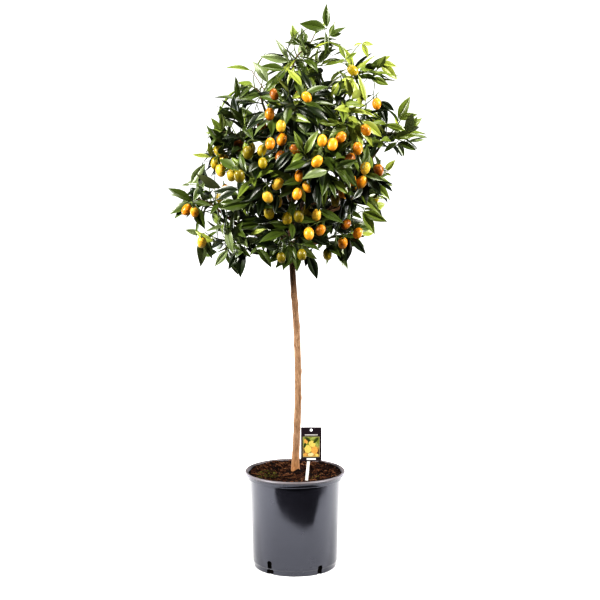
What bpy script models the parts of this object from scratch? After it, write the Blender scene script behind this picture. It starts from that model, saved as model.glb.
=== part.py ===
"""A young kumquat tree trained on one clear stem, standing in its round plastic nursery pot.

Units are metres, +Z is up and -Y is the front. The origin is the centre of the pot's flat
underside. The wood is a trunk that runs on as a leader through the crown, with boughs off its
side. Each bough ends in one mass of foliage: a stem, shoots that branch from it, leaves and
fruit, all grown by one seeded rule inside the mass's own cell, so no two masses meet.
"""

import math
import random

import bmesh
import bpy
from mathutils import Matrix, Vector
from mathutils.bvhtree import BVHTree

# ---------------------------------------------------------------- driving dimensions
GAP = 0.0003  # clearance between pieces that touch

POT_HEIGHT = 0.256
POT_SIDES = 36
BEAD_R, BEAD_H = 0.1318, 0.008  # rolled top edge
COLLAR_R, COLLAR_H = 0.1274, 0.009  # step under it
WALL_TOP_R, WALL_FOOT_R = 0.1206, 0.1114
FOOT_BAND_R, FOOT_BAND_H = 0.1090, 0.015
FOOT_ROUND = 0.004
WALL, FLOOR = 0.0022, 0.003
DRAINS, DRAIN_START = 5, math.radians(-126)  # first drain is at the front left
DRAIN_W, DRAIN_TOP, HIGH_DRAIN_TOP, DRAIN_IN = 0.013, 0.025, 0.0365, 0.007
NOTCH_W, NOTCH_H, BRIDGE_H = 0.021, 0.0135, 0.0030

SOIL_Z = 0.2505  # where the trunk stands
SOIL_PATCH_R = 0.026
SOIL_DIP = 0.0025

TRUNK_LINE = (  # x, y, z of the trunk's centre line
    (0.000, 0.008, 0.2508),
    (0.0075, 0.001, 0.436),
    (0.0055, 0.000, 0.606),
    (-0.006, -0.002, 0.781),
    (-0.013, 0.001, 0.946),
    (-0.018, 0.006, 1.106),
    (-0.018, 0.005, 1.206),
    (-0.006, 0.000, 1.296),
)
TRUNK_R = ((0.2508, 0.0128), (0.260, 0.0112), (0.277, 0.0103), (0.456, 0.0090), (0.776, 0.0078),
           (0.906, 0.0070), (1.056, 0.0056), (1.206, 0.0040), (1.296, 0.0031))  # height, radius
TRUNK_SIDES = 9

CARD_W, CARD_H, CARD_T = 0.0526, 0.088, 0.0008
CARD_AT = Vector((0.0417, -0.1000, 0.3485))
CARD_HOLE_R, CARD_HOLE_DROP = 0.0034, 0.0075
STAKE_W, STAKE_T, STAKE_DEPTH = 0.0080, 0.0014, 0.045
STAKE_FOOT_X, STAKE_HEAD_X = 0.0296, 0.0349

SEEN_FROM = Vector((0.013, -3.8, 1.206))  # fruit is laid out on the crown's middle plane from here

BOUGH_LIFT = 0.55  # how steeply a bough leaves the trunk, as rise over run
STEM_R, TWIG_R = 0.0034, 0.0021  # three-sided, so these are their corners
INTERNODE = 0.0105
LEAF_L, LEAF_W = 0.082, 0.037
LEAF_THICK, LEAF_SUNK, LEAF_WIDEST = 0.0020, 0.0010, 0.44
LEAVES_A_SHOOT, MOST_LEAVES = 6, 29  # to a shoot and to a mass
REACH = 1.18  # of a leaf's tip, as a share of its mass's radii
FRUIT_L, FRUIT_D = 0.037, 0.028
STALK, STALK_R, STALK_SUNK = 0.008, 0.0009, 0.0025
CELL_GAP = 0.0012  # between the cells of neighbouring masses
WOOD_CLEAR = 0.002  # from foliage to a limb
GOLDEN = math.radians(137.508)
SEED = 4107

# name, centre, radii, furthest tip, (parent, height or share along it), bough radius at its foot
MASSES = (
    ("top", (0.030, -0.010, 1.331), (0.100, 0.090, 0.100),
     (0.078, -0.012, 1.456), None, 0),
    ("upper_left", (-0.105, -0.020, 1.251), (0.105, 0.095, 0.090),
     (-0.182, -0.030, 1.300), ("trunk", 1.091), 0.0042),
    ("upper_right", (0.165, -0.010, 1.286), (0.095, 0.090, 0.080),
     (0.262, -0.020, 1.314), ("trunk", 1.046), 0.0046),
    ("upper_front", (0.000, -0.135, 1.191), (0.100, 0.090, 0.095),
     (0.010, -0.262, 1.221), ("trunk", 1.021), 0.0044),
    ("right_high", (0.130, -0.120, 1.186), (0.095, 0.090, 0.085),
     (0.190, -0.190, 1.186), ("trunk", 0.991), 0.0044),
    ("upper_back", (0.030, 0.130, 1.236), (0.115, 0.095, 0.095),
     (-0.030, 0.180, 1.351), ("trunk", 1.066), 0.0044),
    ("left_high", (-0.160, -0.055, 1.138), (0.095, 0.100, 0.095),
     (-0.268, -0.060, 1.146), ("trunk", 0.941), 0.0054),
    ("right_far", (0.250, -0.020, 1.136), (0.095, 0.090, 0.085),
     (0.338, -0.030, 1.131), ("trunk", 0.871), 0.0058),
    ("front_middle", (0.050, -0.205, 1.056), (0.100, 0.085, 0.090),
     (0.060, -0.305, 1.081), ("trunk", 0.901), 0.0052),
    ("front_right", (0.160, -0.120, 1.026), (0.095, 0.095, 0.085),
     (0.222, -0.205, 1.041), ("trunk", 0.926), 0.0050),
    ("front_left", (-0.090, -0.180, 1.026), (0.100, 0.090, 0.090),
     (-0.130, -0.285, 1.046), ("trunk", 0.856), 0.0050),
    ("left_far", (-0.240, -0.020, 0.966), (0.090, 0.090, 0.085),
     (-0.326, -0.025, 0.996), ("trunk", 0.838), 0.0058),
    ("left_back", (-0.150, 0.110, 1.086), (0.105, 0.100, 0.100),
     (-0.235, 0.200, 1.111), ("left_high", 0.36), 0.0040),
    ("right_back", (0.160, 0.130, 1.116), (0.105, 0.100, 0.100),
     (0.225, 0.215, 1.156), ("trunk", 0.961), 0.0052),
    ("back_middle", (0.000, 0.220, 1.066), (0.110, 0.085, 0.095),
     (0.010, 0.312, 1.096), ("trunk", 0.911), 0.0052),
    ("low_left", (-0.165, -0.070, 0.866), (0.090, 0.090, 0.085),
     (-0.205, -0.115, 0.774), ("left_far", 0.30), 0.0040),
    ("low_front", (-0.010, -0.140, 0.886), (0.100, 0.090, 0.085),
     (-0.020, -0.235, 0.821), ("trunk", 0.808), 0.0048),
    ("low_right", (0.120, -0.050, 0.886), (0.090, 0.090, 0.085),
     (0.150, -0.085, 0.778), ("trunk", 0.824), 0.0048),
    ("right_middle", (0.180, 0.030, 0.976), (0.080, 0.090, 0.085),
     (0.250, 0.040, 0.956), ("right_far", 0.34), 0.0040),
    ("low_back_left", (-0.080, 0.150, 0.906), (0.105, 0.095, 0.090),
     (-0.140, 0.232, 0.876), ("trunk", 0.830), 0.0048),
    ("low_back_right", (0.090, 0.140, 0.926), (0.100, 0.095, 0.090),
     (0.155, 0.222, 0.896), ("trunk", 0.848), 0.0048),
)
BOUGH_TIP_R = 0.0029
SHOOTS = 10  # to a mass, beside its stem

# Tips of more sprigs that stand out of the outline
SPRIGS = (
    (0.012, -0.010, 1.408), (0.132, -0.010, 1.398), (0.100, 0.050, 1.411), (-0.040, -0.010, 1.368),
    (-0.105, -0.015, 1.331), (-0.190, -0.040, 1.244), (-0.212, -0.040, 1.216), (-0.262, -0.050, 1.084),
    (-0.285, -0.020, 1.026), (-0.318, -0.030, 0.928), (-0.274, -0.060, 0.886), (-0.238, -0.070, 0.796),
    (-0.150, -0.110, 0.770), (-0.055, -0.150, 0.796), (0.055, -0.170, 0.766), (0.192, -0.060, 0.824),
    (0.218, -0.050, 0.882), (0.256, -0.120, 0.991), (0.258, 0.020, 1.056), (0.308, -0.030, 1.091),
    (0.304, -0.020, 1.234), (0.248, -0.020, 1.244), (0.205, -0.020, 1.366), (0.262, -0.030, 1.274),
)
HEAD = Vector((0.0, 0.08, 1.056))  # leaves turn their faces away from here

# Clusters of fruit that show at the front: x, z on the crown's middle plane, count
FRUIT = (
    (-0.186, 1.062, 4), (-0.144, 1.098, 1), (-0.152, 1.028, 2), (-0.182, 0.982, 2), (-0.268, 0.938, 2),
    (-0.236, 0.856, 1), (-0.056, 1.208, 2), (-0.084, 1.152, 1), (-0.038, 1.144, 1), (-0.058, 1.110, 2),
    (-0.038, 1.076, 1), (-0.083, 1.074, 2), (0.030, 1.226, 1), (0.000, 1.093, 1), (0.057, 1.063, 1),
    (0.098, 1.114, 3), (0.158, 1.098, 1), (0.140, 1.069, 1), (0.181, 1.143, 1), (0.208, 1.209, 1),
    (0.147, 1.293, 1), (0.172, 1.024, 4), (0.214, 1.041, 1), (0.112, 0.973, 2), (0.022, 1.002, 3),
    (-0.058, 0.988, 2), (-0.040, 0.963, 2), (-0.063, 0.932, 1), (-0.012, 0.919, 2), (0.042, 0.932, 2),
    (0.048, 0.882, 2), (-0.035, 0.816, 1), (0.018, 0.824, 1), (0.084, 0.825, 1), (0.123, 0.854, 1),
    (0.162, 0.879, 1), (0.130, 0.900, 1),
)
BACK_CLUSTERS = 2  # on each mass behind the trunk
UP = Vector((0, 0, 1))
LEAF_FACES = ((0, 2, 1), (0, 3, 2), (0, 1, 3), (1, 2, 4), (2, 3, 4), (3, 1, 4))


# ---------------------------------------------------------------- materials and objects
def material(name, rgb, roughness, metallic=0.0):
    made = bpy.data.materials.new(name)
    made.use_nodes = True
    shader = made.node_tree.nodes["Principled BSDF"]
    shader.inputs["Base Color"].default_value = (*rgb, 1)
    shader.inputs["Roughness"].default_value = roughness
    shader.inputs["Metallic"].default_value = metallic
    made.diffuse_color = (*rgb, 1)
    return made


def add(name, bm, mat, sharp=40):
    """A new object from the bmesh, its faces turned outward and shaded smooth below the sharp angle."""
    bmesh.ops.recalc_face_normals(bm, faces=bm.faces[:])
    mesh = bpy.data.meshes.new(name)
    bm.to_mesh(mesh)
    bm.free()
    mesh.shade_smooth()
    mesh.set_sharp_from_angle(angle=math.radians(sharp))
    obj = bpy.data.objects.new(name, mesh)
    bpy.context.scene.collection.objects.link(obj)
    if mat:
        mesh.materials.append(mat)
    return obj


def boolean(obj, operation, operand, solver="EXACT"):
    """Applies one Boolean with an object or a collection, then removes what it used."""
    whole = isinstance(operand, bpy.types.Collection)
    step = obj.modifiers.new(operation.lower(), "BOOLEAN")
    step.operation, step.solver = operation, solver
    step.operand_type = "COLLECTION" if whole else "OBJECT"
    if whole:
        step.collection = operand
    else:
        step.object = operand
    bpy.context.view_layer.update()
    graph = bpy.context.evaluated_depsgraph_get()
    done = bpy.data.meshes.new_from_object(obj.evaluated_get(graph))
    obj.modifiers.clear()
    old, obj.data = obj.data, done
    bpy.data.meshes.remove(old)
    for used in list(operand.objects) if whole else [operand]:
        bpy.data.objects.remove(used)
    if whole:
        bpy.data.collections.remove(operand)


# ---------------------------------------------------------------- lines and limbs
def smooth_line(points, steps):
    """Points of a Catmull-Rom curve through the given ones."""
    p = [Vector(q) for q in points]
    p = [2 * p[0] - p[1], *p, 2 * p[-1] - p[-2]]
    line = []
    for a, b, c, d in zip(p, p[1:], p[2:], p[3:]):
        for k in range(steps):
            t = k / steps
            line.append(0.5 * (2 * b + (c - a) * t + (2 * a - 5 * b + 4 * c - d) * t * t
                               + (3 * b - a - 3 * c + d) * t ** 3))
    return [*line, p[-2].copy()]


def bezier(a, b, c, d, steps):
    out = []
    for k in range(steps + 1):
        t = k / steps
        s = 1 - t
        out.append(s ** 3 * a + 3 * s * s * t * b + 3 * s * t * t * c + t ** 3 * d)
    return out


def table(rows, at):
    """The value at a height, read between the rows of (height, value)."""
    for (z, low), (top, high) in zip(rows, rows[1:]):
        if at <= top:
            return low + (high - low) * max(0, (at - z) / (top - z))
    return rows[-1][1]


def tangent(line, i):
    return (line[min(i + 1, len(line) - 1)] - line[max(i - 1, 0)]).normalized()


def along(line, share):
    """Point, direction and carried square vector at a share of the line's length."""
    spans = [(b - a).length for a, b in zip(line, line[1:])]
    left = share * sum(spans)
    square = frames(line)
    for i, span in enumerate(spans):
        if left <= span or i == len(spans) - 1:
            t = min(left / span, 1)
            d = (line[i + 1] - line[i]).normalized()
            u = square[i][1].lerp(square[i + 1][1], t)
            return line[i].lerp(line[i + 1], t), d, (u - u.dot(d) * d).normalized()
        left -= span


def across(direction):
    """Two unit vectors square to the direction and to each other."""
    side = direction.cross(UP if abs(direction.z) < 0.9 else Vector((1, 0, 0))).normalized()
    return side, side.cross(direction)


def frames(line):
    """(direction, square vector) at each point of the line, the vector carried along without twist."""
    u = across(tangent(line, 0))[0]
    out = []
    for i in range(len(line)):
        d = tangent(line, i)
        u = (u - u.dot(d) * d).normalized()
        out.append((d, u))
    return out


def tube(bm, line, radii, sides, foot=None, flare=None):
    """A closed tapering tube along the line. A foot (point, normal) is the plane its start is cut to."""
    rings = []
    for i, (at, (d, u)) in enumerate(zip(line, frames(line))):
        v = u.cross(d)
        ring = []
        for k in range(sides):
            a = 2 * math.pi * k / sides
            r = radii[i] * (flare(i, a) if flare else 1)
            p = at + r * (math.cos(a) * u + math.sin(a) * v)
            if foot and i == 0:
                p += d * ((foot[0] - p).dot(foot[1]) / d.dot(foot[1]))
            ring.append(bm.verts.new(p))
        rings.append(ring)
    for a, b in zip(rings, rings[1:]):
        for k in range(sides):
            bm.faces.new((a[k], a[(k + 1) % sides], b[(k + 1) % sides], b[k]))
    bm.faces.new(rings[0][::-1])
    bm.faces.new(rings[-1])


# ---------------------------------------------------------------- pot, soil, label
def spin_profile(profile, sides):
    """A closed solid of revolution from (radius, height) points that start and end on the axis."""
    bm = bmesh.new()
    rings = []
    for r, z in profile:
        if r == 0:
            rings.append([bm.verts.new((0, 0, z))])
        else:
            turn = [2 * math.pi * (k + 0.5) / sides for k in range(sides)]
            rings.append([bm.verts.new((r * math.cos(a), r * math.sin(a), z)) for a in turn])
    for a, b in zip(rings, rings[1:]):
        for k in range(sides):
            n = (k + 1) % sides
            if len(a) == 1:
                bm.faces.new((a[0], b[n], b[k]))
            elif len(b) == 1:
                bm.faces.new((a[k], a[n], b[0]))
            else:
                bm.faces.new((a[k], a[n], b[n], b[k]))
    return bm


def box(bm, size, at, rotation=0.0):
    place = Matrix.Rotation(rotation, 4, "Z") @ Matrix.Translation(at) @ Matrix.Diagonal((*size, 1))
    bmesh.ops.create_cube(bm, size=1, matrix=place)


def inner_radius(z):
    """Inside of the pot: along the wall, then out to the bead."""
    collar, lip = POT_HEIGHT - BEAD_H - COLLAR_H, POT_HEIGHT - 0.0022
    share = (min(z, collar) - FLOOR) / (collar - FLOOR)
    wall = FOOT_BAND_R + (WALL_TOP_R - FOOT_BAND_R) * share - WALL
    return wall + (BEAD_R - 0.0072 - wall) * max(0, (z - collar) / (lip - collar))


def make_pot(mat):
    bead, collar = POT_HEIGHT - BEAD_H, POT_HEIGHT - BEAD_H - COLLAR_H
    profile = (
        (0, 0), (FOOT_BAND_R - FOOT_ROUND, 0), (FOOT_BAND_R - 0.001, 0.0013), (FOOT_BAND_R, FOOT_ROUND),
        (FOOT_BAND_R, FOOT_BAND_H - 0.001), (WALL_FOOT_R, FOOT_BAND_H), (WALL_TOP_R, collar),
        (COLLAR_R - 0.0006, collar + 0.0008), (COLLAR_R, bead - 0.0005), (BEAD_R - 0.0008, bead + 0.0002),
        (BEAD_R, bead + 0.003), (BEAD_R - 0.0015, POT_HEIGHT - 0.0012), (BEAD_R - 0.0042, POT_HEIGHT),
        (BEAD_R - 0.0072, POT_HEIGHT - 0.0022), (inner_radius(collar), collar),
        (inner_radius(FLOOR), FLOOR), (0, FLOOR),
    )
    pot = add("pot", spin_profile(profile, POT_SIDES), mat)
    cuts = bmesh.new()
    reach = FOOT_BAND_R + 0.010
    for k in range(DRAINS):
        turn = DRAIN_START + 2 * math.pi * k / DRAINS
        low, high = (-0.005, DRAIN_TOP) if k else (NOTCH_H + BRIDGE_H, HIGH_DRAIN_TOP)
        inner = FOOT_BAND_R - DRAIN_IN
        at = (reach + inner) / 2
        box(cuts, (reach - inner, DRAIN_W, high - low), (at, 0, (high + low) / 2), turn)
        if not k:
            box(cuts, (reach - inner, NOTCH_W, NOTCH_H + 0.005), (at, 0, (NOTCH_H - 0.005) / 2), turn)
    boolean(pot, "DIFFERENCE", add("pot_cuts", cuts, None))
    pot.data.shade_smooth()
    pot.data.set_sharp_from_angle(angle=math.radians(40))


def soil_height(x, y):
    """The top of the potting mix: level under the trunk, low at the left and back, lumpy elsewhere."""
    r = math.hypot(x, y)
    away = min(max((r - SOIL_PATCH_R) / 0.03, 0), 1)
    lumps = math.sin(83 * x + 1.3) * math.sin(71 * y + 0.4) + 0.6 * math.sin(151 * x - 90 * y)
    return SOIL_Z + away * (0.0016 * lumps - SOIL_DIP * (0.5 - 2.6 * x + 1.6 * y))


def make_soil(mat):
    sides, rings = 27, (0.0, SOIL_PATCH_R, 0.052, 0.084, None)
    bottom = FLOOR + GAP
    bm = bmesh.new()
    top = []
    for r in rings:
        if r is None:
            r = inner_radius(SOIL_Z) - 0.0022
        turn = [2 * math.pi * k / sides for k in range(1 if r == 0 else sides)]
        spots = [(r * math.cos(a), r * math.sin(a)) for a in turn]
        top.append([bm.verts.new((x, y, soil_height(x, y))) for x, y in spots])
    for a, b in zip(top, top[1:]):
        for k in range(sides):
            n = (k + 1) % sides
            bm.faces.new((a[0], b[k], b[n]) if len(a) == 1 else (a[k], b[k], b[n], a[n]))
    # The pot's facets come in closer than its nominal radius, so the fill keeps to their middles.
    inset = math.cos(math.pi / POT_SIDES)
    turn = [2 * math.pi * k / sides for k in range(sides)]
    above = top[-1]
    for z in (POT_HEIGHT - BEAD_H - COLLAR_H, bottom):
        r = inner_radius(z) * inset - GAP
        below = [bm.verts.new((r * math.cos(a), r * math.sin(a), z)) for a in turn]
        for k in range(sides):
            n = (k + 1) % sides
            bm.faces.new((above[k], below[k], below[n], above[n]))
        above = below
    bm.faces.new(above[::-1])
    soil = add("soil", bm, mat, 60)
    pocket = bmesh.new()
    stake_solid(pocket, GAP)
    boolean(soil, "DIFFERENCE", add("soil_pocket", pocket, None))


def stake_solid(bm, grow=0.0):
    """The leaning flat stake, from its foot in the soil to its head behind the card."""
    foot_z = SOIL_Z - STAKE_DEPTH
    head_z = CARD_AT.z + 0.005
    rise = (STAKE_HEAD_X - STAKE_FOOT_X) / (CARD_AT.z - CARD_H / 2 - SOIL_Z)
    y = CARD_AT.y + CARD_T / 2 + GAP + STAKE_T / 2
    ends = []
    for z in (foot_z - grow, head_z):
        x = STAKE_FOOT_X + rise * (z - SOIL_Z)
        w, t = STAKE_W / 2 + grow, STAKE_T / 2 + grow
        corners = ((-w, -t), (w, -t), (w, t), (-w, t))
        ends.append([bm.verts.new((x + dx, y + dy, z)) for dx, dy in corners])
    for k in range(4):
        n = (k + 1) % 4
        bm.faces.new((ends[0][k], ends[0][n], ends[1][n], ends[1][k]))
    bm.faces.new(ends[0][::-1])
    bm.faces.new(ends[1])


def make_label(card_mat, stake_mat):
    bm = bmesh.new()
    box(bm, (CARD_W, CARD_T, CARD_H), CARD_AT)
    card = add("label_card", bm, card_mat)
    hole = bmesh.new()
    at = CARD_AT + Vector((0, 0, CARD_H / 2 - CARD_HOLE_DROP))
    bmesh.ops.create_cone(hole, cap_ends=True, segments=12, radius1=CARD_HOLE_R, radius2=CARD_HOLE_R,
                          depth=0.01, matrix=Matrix.Translation(at) @ Matrix.Rotation(math.pi / 2, 4, "X"))
    boolean(card, "DIFFERENCE", add("card_hole", hole, None))
    bm = bmesh.new()
    stake_solid(bm)
    add("label_stake", bm, stake_mat)


# ---------------------------------------------------------------- wood
def flare(i, a):
    """Root flare: the trunk's lowest rings swell at three roots."""
    return 1 + (0.16, 0.10, 0.03, 0)[min(i, 3)] * math.cos(3 * a + 0.8)


def make_limbs(mat):
    """Makes the trunk and the boughs. Returns each one's (line, radii)."""
    line = smooth_line(TRUNK_LINE, 2)
    line[1:1] = [Vector((0.0003, 0.0077, 0.2590)), Vector((0.0010, 0.0070, 0.2770))]
    radii = [table(TRUNK_R, p.z) for p in line]
    bm = bmesh.new()
    tube(bm, line, radii, TRUNK_SIDES, (line[0], UP), flare=flare)
    add("trunk", bm, mat, 50)
    limbs = {"trunk": (line, radii)}
    for name, centre, radii_of, _, parent, foot_r in MASSES:
        if not parent:
            continue
        above, place = parent
        up_line, up_radii = limbs[above]
        if above == "trunk":
            i = min(range(len(up_line)), key=lambda k: abs(up_line[k].z - place))
            j = i + 1 if up_line[i].z < place else i - 1
            t = (place - up_line[i].z) / (up_line[j].z - up_line[i].z)
            at, d = up_line[i].lerp(up_line[j], t), tangent(up_line, i)
            width = table(TRUNK_R, place)
        else:
            at, d, _ = along(up_line, place)
            width = up_radii[0] + (up_radii[-1] - up_radii[0]) * place
        centre = Vector(centre)
        to = centre - at
        out = (to - to.dot(d) * d).normalized()
        foot = at + out * (width + GAP)
        lift = BOUGH_LIFT if above == "trunk" else 0.9
        first = (out + lift * (d if above == "trunk" or to.dot(d) > 0 else -d)).normalized()
        mean_r = sum(radii_of) / 3
        end = centre - to.normalized() * mean_r * 0.55
        span = (end - foot).length
        last = (to.normalized() + 0.35 * UP * (1 if centre.z > 0.95 else -0.2)).normalized()
        steps = max(3, round(span / 0.048))
        path = bezier(foot, foot + first * span * 0.35, end - last * span * 0.35, end, steps)
        radii = [foot_r + (BOUGH_TIP_R - foot_r) * (k / steps) ** 0.8 for k in range(steps + 1)]
        bm = bmesh.new()
        tube(bm, path, radii, 8 if any(m[4] and m[4][0] == name for m in MASSES) else 6, (foot, out))
        add("bough_" + name, bm, mat, 50)
        limbs[name] = (path, radii)
    return limbs


# ---------------------------------------------------------------- cells and clearances
class Cell:
    """The space of one mass: its side of a plane toward every other mass, and its own reach."""

    def __init__(self, index):
        name, centre, radii, tip, _, _ = MASSES[index]
        self.centre, self.radii = Vector(centre), Vector(radii)
        self.planes = []
        mine = (radii[0] * radii[1] * radii[2]) ** (1 / 3)
        for other in MASSES:
            if other[0] == name:
                continue
            theirs = (other[2][0] * other[2][1] * other[2][2]) ** (1 / 3)
            n = Vector(other[1]) - self.centre
            far = n.length
            n.normalize()
            reach = far / 2 + (mine ** 2 - theirs ** 2) / (2 * far) - CELL_GAP / 2
            self.planes.append((n, n.dot(self.centre) + reach))

    def room(self, p):
        """Distance to the nearest wall of the cell, negative outside it."""
        return min(reach - n.dot(p) for n, reach in self.planes)

    def spread(self, p):
        """1 on the mass's own ellipsoid."""
        d = p - self.centre
        return math.sqrt(sum((d[k] / self.radii[k]) ** 2 for k in range(3)))

    def inward(self, p, room):
        """The point moved toward the centre until it has that room."""
        for k in range(40):
            if self.room(p) >= room:
                return p
            p = p.lerp(self.centre, 0.05)
        return p


def wood_tree(limbs):
    """The skin of all the limbs, swollen by the clearance that foliage keeps from them."""
    bm = bmesh.new()
    for line, radii in limbs.values():
        tube(bm, line, [r + WOOD_CLEAR for r in radii], 8)
    tree = BVHTree.FromBMesh(bm)
    bm.free()
    return tree


# ---------------------------------------------------------------- growth
def fibonacci(k, n, turn):
    z = 1 - 2 * (k + 0.5) / n
    a = GOLDEN * k + turn
    r = math.sqrt(1 - z * z)
    return Vector((r * math.cos(a), r * math.sin(a), z))


class Mass:
    """The stem, shoots, fruit and leaves of one mass."""

    def __init__(self, index, limbs, wood):
        self.name, centre, _, tip, parent, _ = MASSES[index]
        self.index, self.wood = index, wood
        self.cell = Cell(index)
        self.shoots, self.fruit, self.leaves, self.tips, self.trees = [], [], [], [], []
        self.aims = [Vector(MASSES[index][3])]  # where each shoot's end leaf points, if it matters
        line, radii = limbs[self.name if parent else "trunk"]
        d = (line[-1] - line[-2]).normalized()
        foot = line[-1] + d * GAP
        tip = Vector(tip)
        span = (tip - foot).length
        last = (tip - self.cell.centre).normalized()
        end = tip - last * LEAF_L * 0.97
        self.foot = (foot, d)
        self.shoots.append(bezier(foot, foot + d * span * 0.3, end - last * span * 0.3, end, 4))
        self.trees.append((0, tube_tree(self.shoots[0], STEM_R)))

    def fill(self):
        """More shoots, toward the sides of the mass that have none."""
        turn = random.Random(SEED * 100 + self.index).uniform(0, 6.28)
        rng = random.Random(SEED * 200 + self.index)
        for k in range(SHOOTS + 6):
            if len(self.shoots) > SHOOTS:
                break
            way = fibonacci(k, SHOOTS + 6, turn)
            reach = rng.uniform(0.42, 0.66)
            at = self.cell.centre + Vector([way[j] * self.cell.radii[j] * reach for j in range(3)])
            if self.cell.room(at) < -0.035:
                continue
            at = self.cell.inward(at, 0.012)
            if any((at - line[-1]).length < 0.042 for line in self.shoots):
                continue
            self.branch(at)

    def branch(self, tip, past=0.0, aim=None):
        """A shoot from the best place on the stem to the tip or past it. False where it has no way."""
        feet = []
        for k in range(14):
            foot, d, _ = along(self.shoots[0], 0.05 + 0.90 * k / 13)
            to = tip - foot
            if to.length > 0.012:
                feet.append((abs(d.angle(to) - 0.85) + 4 * to.length, k, foot))
        for _, _, foot in sorted(feet)[:7]:
            line = [foot, tip + (tip - foot).normalized() * past]
            if min(self.cell.room(p) for p in line) < 0.003 or tube_tree(line, TWIG_R).overlap(self.wood):
                continue
            tree = tube_tree([foot.lerp(tip, 0.2), tip], TWIG_R)
            if not any(tree.overlap(other) for _, other in self.trees):
                self.trees.append((len(self.shoots), tree))
                self.shoots.append(line)
                self.aims.append(aim)
                return True
        return False

    def hang_fruit(self, at, count, rng):
        """A cluster that hangs from the tip of its own shoot. Returns how many there is room for."""
        turn = rng.uniform(0, 6.28)
        ways = []
        for k in range(count):
            lean = rng.uniform(0.05, 0.5) if count == 1 else rng.uniform(0.68, 0.85)
            if k == 3:
                lean = 0.05
            a = turn + 2 * math.pi * k / min(count, 3) + rng.uniform(-0.15, 0.15)
            flat = math.sin(lean)
            ways.append(Vector((flat * math.cos(a), flat * math.sin(a), -math.cos(lean))))
        arm = STALK + FRUIT_L / 2
        node = self.cell.inward(at - sum(ways, Vector()) / count * arm, 0.008)
        made = []
        for way in ways:
            size = rng.uniform(0.90, 1.02)
            half, r = FRUIT_L * size / 2, FRUIT_D * size / 2
            middle = node + way * (STALK + half)
            ends = [middle + way * half, middle - way * half * 0.8]
            skin = [middle + r * Vector(q) for q in ((1, 0, 0), (-1, 0, 0), (0, 1, 0), (0, -1, 0))]
            if min(self.cell.room(p) for p in ends + skin) < 0.001:
                continue
            if fruit_tree(middle, way, size).overlap(self.wood):
                continue
            if any(gap_between(middle, way, other[0], other[1]) < r + FRUIT_D * other[2] / 2 + 0.0006
                   for other in self.fruit + made):
                continue
            made.append((middle, way, size))
        trees = [fruit_tree(*fruit) for fruit in made]
        if not made or any(tree.overlap(other) for tree in trees for _, other in self.trees):
            return 0
        if not self.branch(node, STALK_SUNK):
            return 0
        self.trees += [(None, tree) for tree in trees]
        self.fruit += made
        return len(made)

    def leaf_slots(self, shoot, line):
        """Places for leaves, from the tip back: number, root and up to three (direction, face)."""
        length = sum((b - a).length for a, b in zip(line, line[1:]))
        for k in range(int(length * 0.85 / INTERNODE)):
            root, d, u = along(line, 1 - (0.003 + INTERNODE * k) / length)
            v = u.cross(d)
            out = (root - HEAD) * Vector((1, 1, 0.6))
            out.normalize()
            jitter = 0.20 * math.sin(12.9 * shoot + 7.7 * k + self.index)
            tilt = math.radians(28 + 10 * min(k, 4)) if k else math.radians(8)
            ways = []
            for turn in range(3):
                a = math.radians(60 + 120 * ((k + turn) % 3)) + jitter
                way = math.cos(tilt) * d + math.sin(tilt) * (math.cos(a) * u + math.sin(a) * v)
                way = (way - (0.22 if k > 1 else 0.0) * UP).normalized()
                if k == 0 and self.aims[shoot]:
                    way = (self.aims[shoot] - root).normalized()
                face = 0.3 * d + 0.45 * UP + 0.75 * out
                face -= face.dot(way) * way
                ways.append((way, face.normalized() if face.length > 0.05 else across(way)[1]))
            yield k, root, ways[:1] if k == 0 else ways

    def try_leaf(self, shoot, k, root, way, face, length, width, screens):
        """Keeps the leaf where it is inside the cell and clear of wood, fruit and the other leaves."""
        corners = leaf_points(root, way, face, length, width)
        if min(self.cell.room(p) for p in corners) < 0.0004:
            return False
        right, left, _, tip = corners[1:]
        middle = (right + left) / 2
        spots = [root.lerp(middle, 0.5), middle, middle.lerp(tip, 0.5), tip]
        for at, toward in screens:
            for p in spots[1:]:
                t = (p - at).dot(toward)
                if t > 0 and (p - at - toward * t).length < 0.011:
                    return False
        if any((tip - other).length < 0.013 for other in self.tips):
            return False
        if (k or not self.aims[shoot]) and self.cell.spread(tip) > REACH:
            return False
        tree = BVHTree.FromPolygons(corners, LEAF_FACES)
        if tree.overlap(self.wood):
            return False
        if any(owner != shoot and tree.overlap(other) for owner, other in self.trees):
            return False
        self.tips.append(tip)
        self.trees.append((None, tree))
        self.leaves.append((root, way, face, length, width))
        return True


def gap_between(p, d, q, e):
    """Least distance between the cores of two fruits."""
    reach = (FRUIT_L - FRUIT_D) / 2
    return min((p + d * s - q - e * t).length for s in (-reach, 0, reach) for t in (-reach, 0, reach))


def lay_sprigs(masses):
    """A shoot toward each sprig's tip, in the mass whose cell holds it, with room for its last leaf."""
    for tip in SPRIGS:
        tip = Vector(tip)
        mass = max(masses, key=lambda m: m.cell.room(tip))
        out = tip - mass.cell.centre
        last = min(max(out.length * 0.6, LEAF_L * 0.62), LEAF_L)
        mass.branch(tip - out.normalized() * last, aim=tip)


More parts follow.
